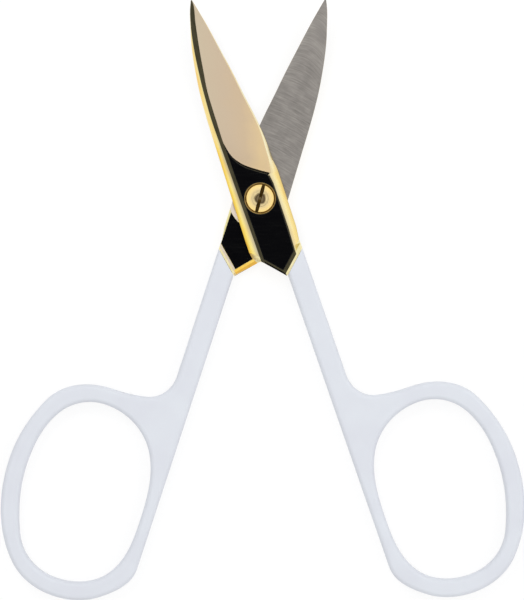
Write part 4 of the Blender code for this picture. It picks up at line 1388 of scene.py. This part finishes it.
def outer_lacquer_outline(grow):
    """The black field on the outer face, up to the shoulder of the ground blade."""
    inset = LACQUER_RIM - grow
    left, right = FACE_LEFT + inset, FACE_RIGHT - inset
    free = V_TIP_REACH - V_FREE_RUNS[2] - inset / math.cos(V_FREE_ANGLE)
    coated = V_TIP_REACH - V_COATED_RUNS[2] - inset / math.cos(V_ANGLE)
    middle = (coated - free) / (V_FREE_RISE + V_RISE)
    low_right = FACE_RIGHT * V_HALF_WIDTH / HALF_WIDTH - inset
    neck_right = FACE_RIGHT * NECK_HALF_WIDTH / HALF_WIDTH - inset
    shoulder = blade_row(0, 1)[FACE_FIRST:FACE_LAST + 1]
    foot = shoulder[-1].y - SHOULDER_RUN
    waist_right = mix(neck_right, right, (WAIST_REACH + NECK_REACH) / (foot + NECK_REACH))
    fall = SHOULDER_RUN + SHOULDER_RIM - grow
    top = [(min(point.x, right - SHOULDER_CORNER), point.y - fall) for point in reversed(shoulder)]
    return ([(left, -left * V_FREE_RISE - free), (middle, middle * V_RISE - coated),
             (low_right, low_right * V_RISE - coated), (neck_right, -NECK_REACH),
             (waist_right, WAIST_REACH)] + top + [(left, top[-1][1])])


def circle_outline(radius):
    """A hole's outline, clockwise."""
    turns = [-math.tau * i / ROUND_STEPS for i in range(ROUND_STEPS)]
    return [(radius * math.cos(turn), radius * math.sin(turn)) for turn in turns]


# %% The forgings of both halves
COLLAR_FOOT = 0.15 * MM
COLLAR_LEDGE = 0.02 * MM
COLLAR_SLOPE = 0.2
COLLAR_FALL = HANDLE_REACH / 2 * COLLAR_SLOPE


def collar_mesh():
    """The bare strip of steel between the V and the coat, with a step for the other half."""
    far, tall = HANDLE_REACH / 2, HANDLE_THICKNESS
    step = (COAT_REACH - STEP_REACH) * math.cos(V_ANGLE)
    top = HANDLE_MIDDLE + HANDLE_THICKNESS / 2
    tools = tool_collection("collar_tools")
    add_tool(tools, slanted_tool("above", [(step, tall), (step, COLLAR_FOOT),
                                           (COLLAR_LEDGE, -COLLAR_FOOT), (COLLAR_RIM, -tall),
                                           (far, -tall), (far, tall)], PALE))
    add_tool(tools, slanted_tool("below", [(0, tall), (0, -tall), (-HANDLE_REACH, -tall),
                                           (-HANDLE_REACH, tall)], PALE))
    add_tool(tools, slanted_tool("sunk", [(COLLAR_RIM / 2, top), (far, top - COLLAR_FALL),
                                          (far, tall), (COLLAR_RIM / 2, tall)], PALE))
    return cut(handle_mesh("collar", 0.0, PALE), tools)


def core_mesh():
    tools = tool_collection("core_tools")
    add_tool(tools, above_coat("above", COLLAR_RIM / 2, GOLD))
    return cut(handle_mesh("core", COAT_WALL + COAT_GAP, GOLD), tools)


def forging(side, rise_sign, boss_radius, bores):
    joined = tool_collection("joined")
    add_tool(joined, collar_mesh())
    add_tool(joined, core_mesh())
    mesh = cut(loft_mesh(f"{side}_forging", rise_sign), joined, 'UNION')
    tools = tool_collection("cuts")
    add_tool(tools, prism("relief", ride_relief_outline(), -RIDE_RELIEF, RIDE_RELIEF, CREAM))
    add_tool(tools, chamfer_tool("inner_chamfer", CHAMFER_INNER, CHAMFER_MIDDLE, BRIGHT))
    add_tool(tools, chamfer_tool("outer_chamfer", CHAMFER_MIDDLE, CHAMFER_OUTER, WARM))
    pocket_floor = PLATE_THICKNESS - LACQUER_THICKNESS - LACQUER_GAP
    pocket = prism("pocket", outer_lacquer_outline(LACQUER_GAP), pocket_floor,
                   PLATE_THICKNESS + OVERRUN, RIM)
    boss = tool_collection("boss")
    add_tool(boss, round_tool("boss", boss_radius, 0.0, 2 * PLATE_THICKNESS + OVERRUN, boss_radius,
                              RIM))
    add_tool(tools, cut(pocket, boss))
    for i, (radius, low, high, top_radius) in enumerate(bores):
        add_tool(tools, round_tool(f"bore_{i}", radius, low, high, top_radius, WELL))
    mesh = cut(mesh, tools)
    set_in_place(f"{side}_forging", mesh, side, f"{side}_half")


plate_top = PLATE_THICKNESS + OVERRUN
well_floor = PLATE_THICKNESS + SCREW_HEAD_PROUD - SCREW_HEAD_HEIGHT - SCREW_GAP
mouth_radius = COUNTERSINK_RADIUS + OVERRUN * COUNTERSINK_RUN / COUNTERSINK_DEPTH
plain_bore = (BORE_RADIUS, -OVERRUN, plate_top, BORE_RADIUS)
well = (WELL_RADIUS, well_floor, plate_top, WELL_RADIUS)
countersink = (WELL_RADIUS, PLATE_THICKNESS - COUNTERSINK_DEPTH, plate_top, mouth_radius)
forging("front", 1, COUNTERSINK_RADIUS, [plain_bore, well, countersink])
forging("rear", -1, BORE_RADIUS + LACQUER_RIM, [plain_bore])

# %% [markdown]
# ## Lacquer fields
# The same tree makes the lacquer: an outline with a hole for the screw, and an edge that the surface
# tension of the wet lacquer has rounded.

# %% Four fields of lacquer
LACQUER_EDGE = 0.04 * MM
LACQUER_EDGE_POINTS = 6


def lacquer_field(side, face, outlines, low, high, node):
    mesh = rounded_plate(f"{side}_{face}", outlines, low, high, LACQUER_EDGE, LACQUER_EDGE_POINTS,
                         LACQUER)
    set_in_place(f"{side}_{face}", mesh, side, node, flat_tops=True)


inner_top = RIDE_RELIEF - LACQUER_GAP
for side, hole_radius in (("front", COUNTERSINK_RADIUS + LACQUER_GAP),
                          ("rear", BORE_RADIUS + LACQUER_RIM)):
    lacquer_field(side, "outer_field", [outer_lacquer_outline(0.0), circle_outline(hole_radius)],
                  PLATE_THICKNESS - LACQUER_THICKNESS, PLATE_THICKNESS, f"{side}_lacquer")
    lacquer_field(side, "inner_field", [inner_lacquer_outline()],
                  inner_top - INNER_LACQUER_THICKNESS, inner_top, f"{side}_inner_lacquer")

# %% [markdown]
# ## Screw
# A lathe turns a profile round an axis, and so does this tree: the profile is swept along a circle.
# Then the slot is milled across the head. Its cutter flares at the top, which breaks the slot's edges.
# The thread is left out, because the rear half hides all of it.

# %% The lathe's tree
SCREW_STEPS = 128


def lathe_tree():
    tree, given = new_tree("lathe", [("Lathe Radius", "Float"), ("Steps", "Int"),
                                     ("Material", "Material")])
    profile = add(tree, "GeometryNodeMeshToCurve", links={"Mesh": given["Geometry"]})
    back = add(tree, "ShaderNodeMath", {1: -1.0}, {0: given["Lathe Radius"]},
               operation='MULTIPLY')
    offset = add(tree, "ShaderNodeCombineXYZ", links={"X": back.outputs[0]})
    moved = add(tree, "GeometryNodeSetPosition", links={"Geometry": profile.outputs[0],
                                                        "Offset": offset.outputs[0]})
    circle = add(tree, "GeometryNodeCurvePrimitiveCircle",
                 links={"Resolution": given["Steps"], "Radius": given["Lathe Radius"]})
    upright = add(tree, "GeometryNodeSetCurveNormal", links={"Curve": circle.outputs["Curve"]},
                  mode='Z_UP')
    turned = add(tree, "GeometryNodeCurveToMesh", links={"Curve": upright.outputs[0],
                                                         "Profile Curve": moved.outputs[0]})
    merged = add(tree, "GeometryNodeMergeByDistance", {"Distance": MERGE_DISTANCE},
                 {"Geometry": turned.outputs[0]})
    made = add(tree, "GeometryNodeRealizeInstances", links={"Geometry": merged.outputs[0]})
    dressed = add(tree, "GeometryNodeSetMaterial", links={"Geometry": made.outputs[0],
                                                          "Material": given["Material"]})
    add(tree, "NodeGroupOutput", links={0: dressed.outputs[0]})
    return tree


LATHE = lathe_tree()

# %% The screw's profile, turned and slotted
HEAD_CROWN = 0.1 * MM
# Shares of the dimple's radius and of its depth, from the middle outwards.
DIMPLE_SHARES = [(0, 1), (0.55, 0.72), (0.9, 0.2)]
DIMPLE_LIP_SHARE = 1.08
DIMPLE_LIP_DROP = HEAD_CROWN / 6
CROWN_POINTS = 10
SLOT_FLARE = 0.05 * MM


def screw_profile():
    """(radius, z) from the middle of the dimple over the crowned head to the end."""
    top = PLATE_THICKNESS + SCREW_HEAD_PROUD
    under = top - SCREW_HEAD_HEIGHT
    end = -RUNNING_GAP - PLATE_THICKNESS + SCREW_END_RECESS
    neck = SCREW_SHANK_DIAMETER / 2
    dimple, rim = DIMPLE_DIAMETER / 2, SCREW_HEAD_RADIUS - SCREW_HEAD_CHAMFER
    lip = dimple * DIMPLE_LIP_SHARE
    points = [Vector((dimple * out, top - DIMPLE_DEPTH * down)) for out, down in DIMPLE_SHARES]
    points.append(Vector((lip, top - DIMPLE_LIP_DROP)))
    for i in range(CROWN_POINTS):
        share = (i + 1) / CROWN_POINTS
        points.append(Vector((mix(lip, rim, share), top - HEAD_CROWN * share * share)))
    points += [Vector((SCREW_HEAD_RADIUS, top - SCREW_HEAD_CHAMFER - HEAD_CROWN)),
               Vector((SCREW_HEAD_RADIUS, under)), Vector((neck, under)),
               Vector((neck, end + SCREW_HEAD_CHAMFER)), Vector((neck - SCREW_HEAD_CHAMFER, end)),
               Vector((0, end))]
    return points


def turned_mesh(name, profile, finish):
    mesh = bpy.data.meshes.new(name)
    mesh.from_pydata([(point.x, -point.y, 0) for point in profile],
                     [(i, i + 1) for i in range(len(profile) - 1)], [])
    item = new_object(name, mesh)
    modifier = item.modifiers.new("Lathe", 'NODES')
    modifier.node_group = LATHE
    set_inputs(modifier, {"Lathe Radius": SCREW_HEAD_RADIUS, "Steps": SCREW_STEPS,
                          "Material": finish})
    return plain_mesh(item)


def pivot_screw():
    top = PLATE_THICKNESS + SCREW_HEAD_PROUD
    across, aside = SCREW_HEAD_RADIUS + OVERRUN, SLOT_WIDTH / 2
    section = [(-aside, top - SLOT_DEPTH), (aside, top - SLOT_DEPTH), (aside, top - HEAD_CROWN),
               (aside + SLOT_FLARE, top), (aside + SLOT_FLARE, top + OVERRUN),
               (-aside - SLOT_FLARE, top + OVERRUN), (-aside - SLOT_FLARE, top),
               (-aside, top - HEAD_CROWN)]
    slot = prism("slot", section, -across, across, SLOT)
    slot.transform(Matrix.Rotation(-SLOT_LEAN - REST_OPENING / 2, 4, 'Z')
                   @ Matrix.Rotation(math.pi / 2, 4, 'X'))
    tools = tool_collection("slot_tools")
    add_tool(tools, slot)
    return cut(turned_mesh("pivot_screw", screw_profile(), TURNED), tools)


screw = pivot_screw()
set_in_place("slotted_pivot_screw", screw, "front", "pivot_screw", body="rear")
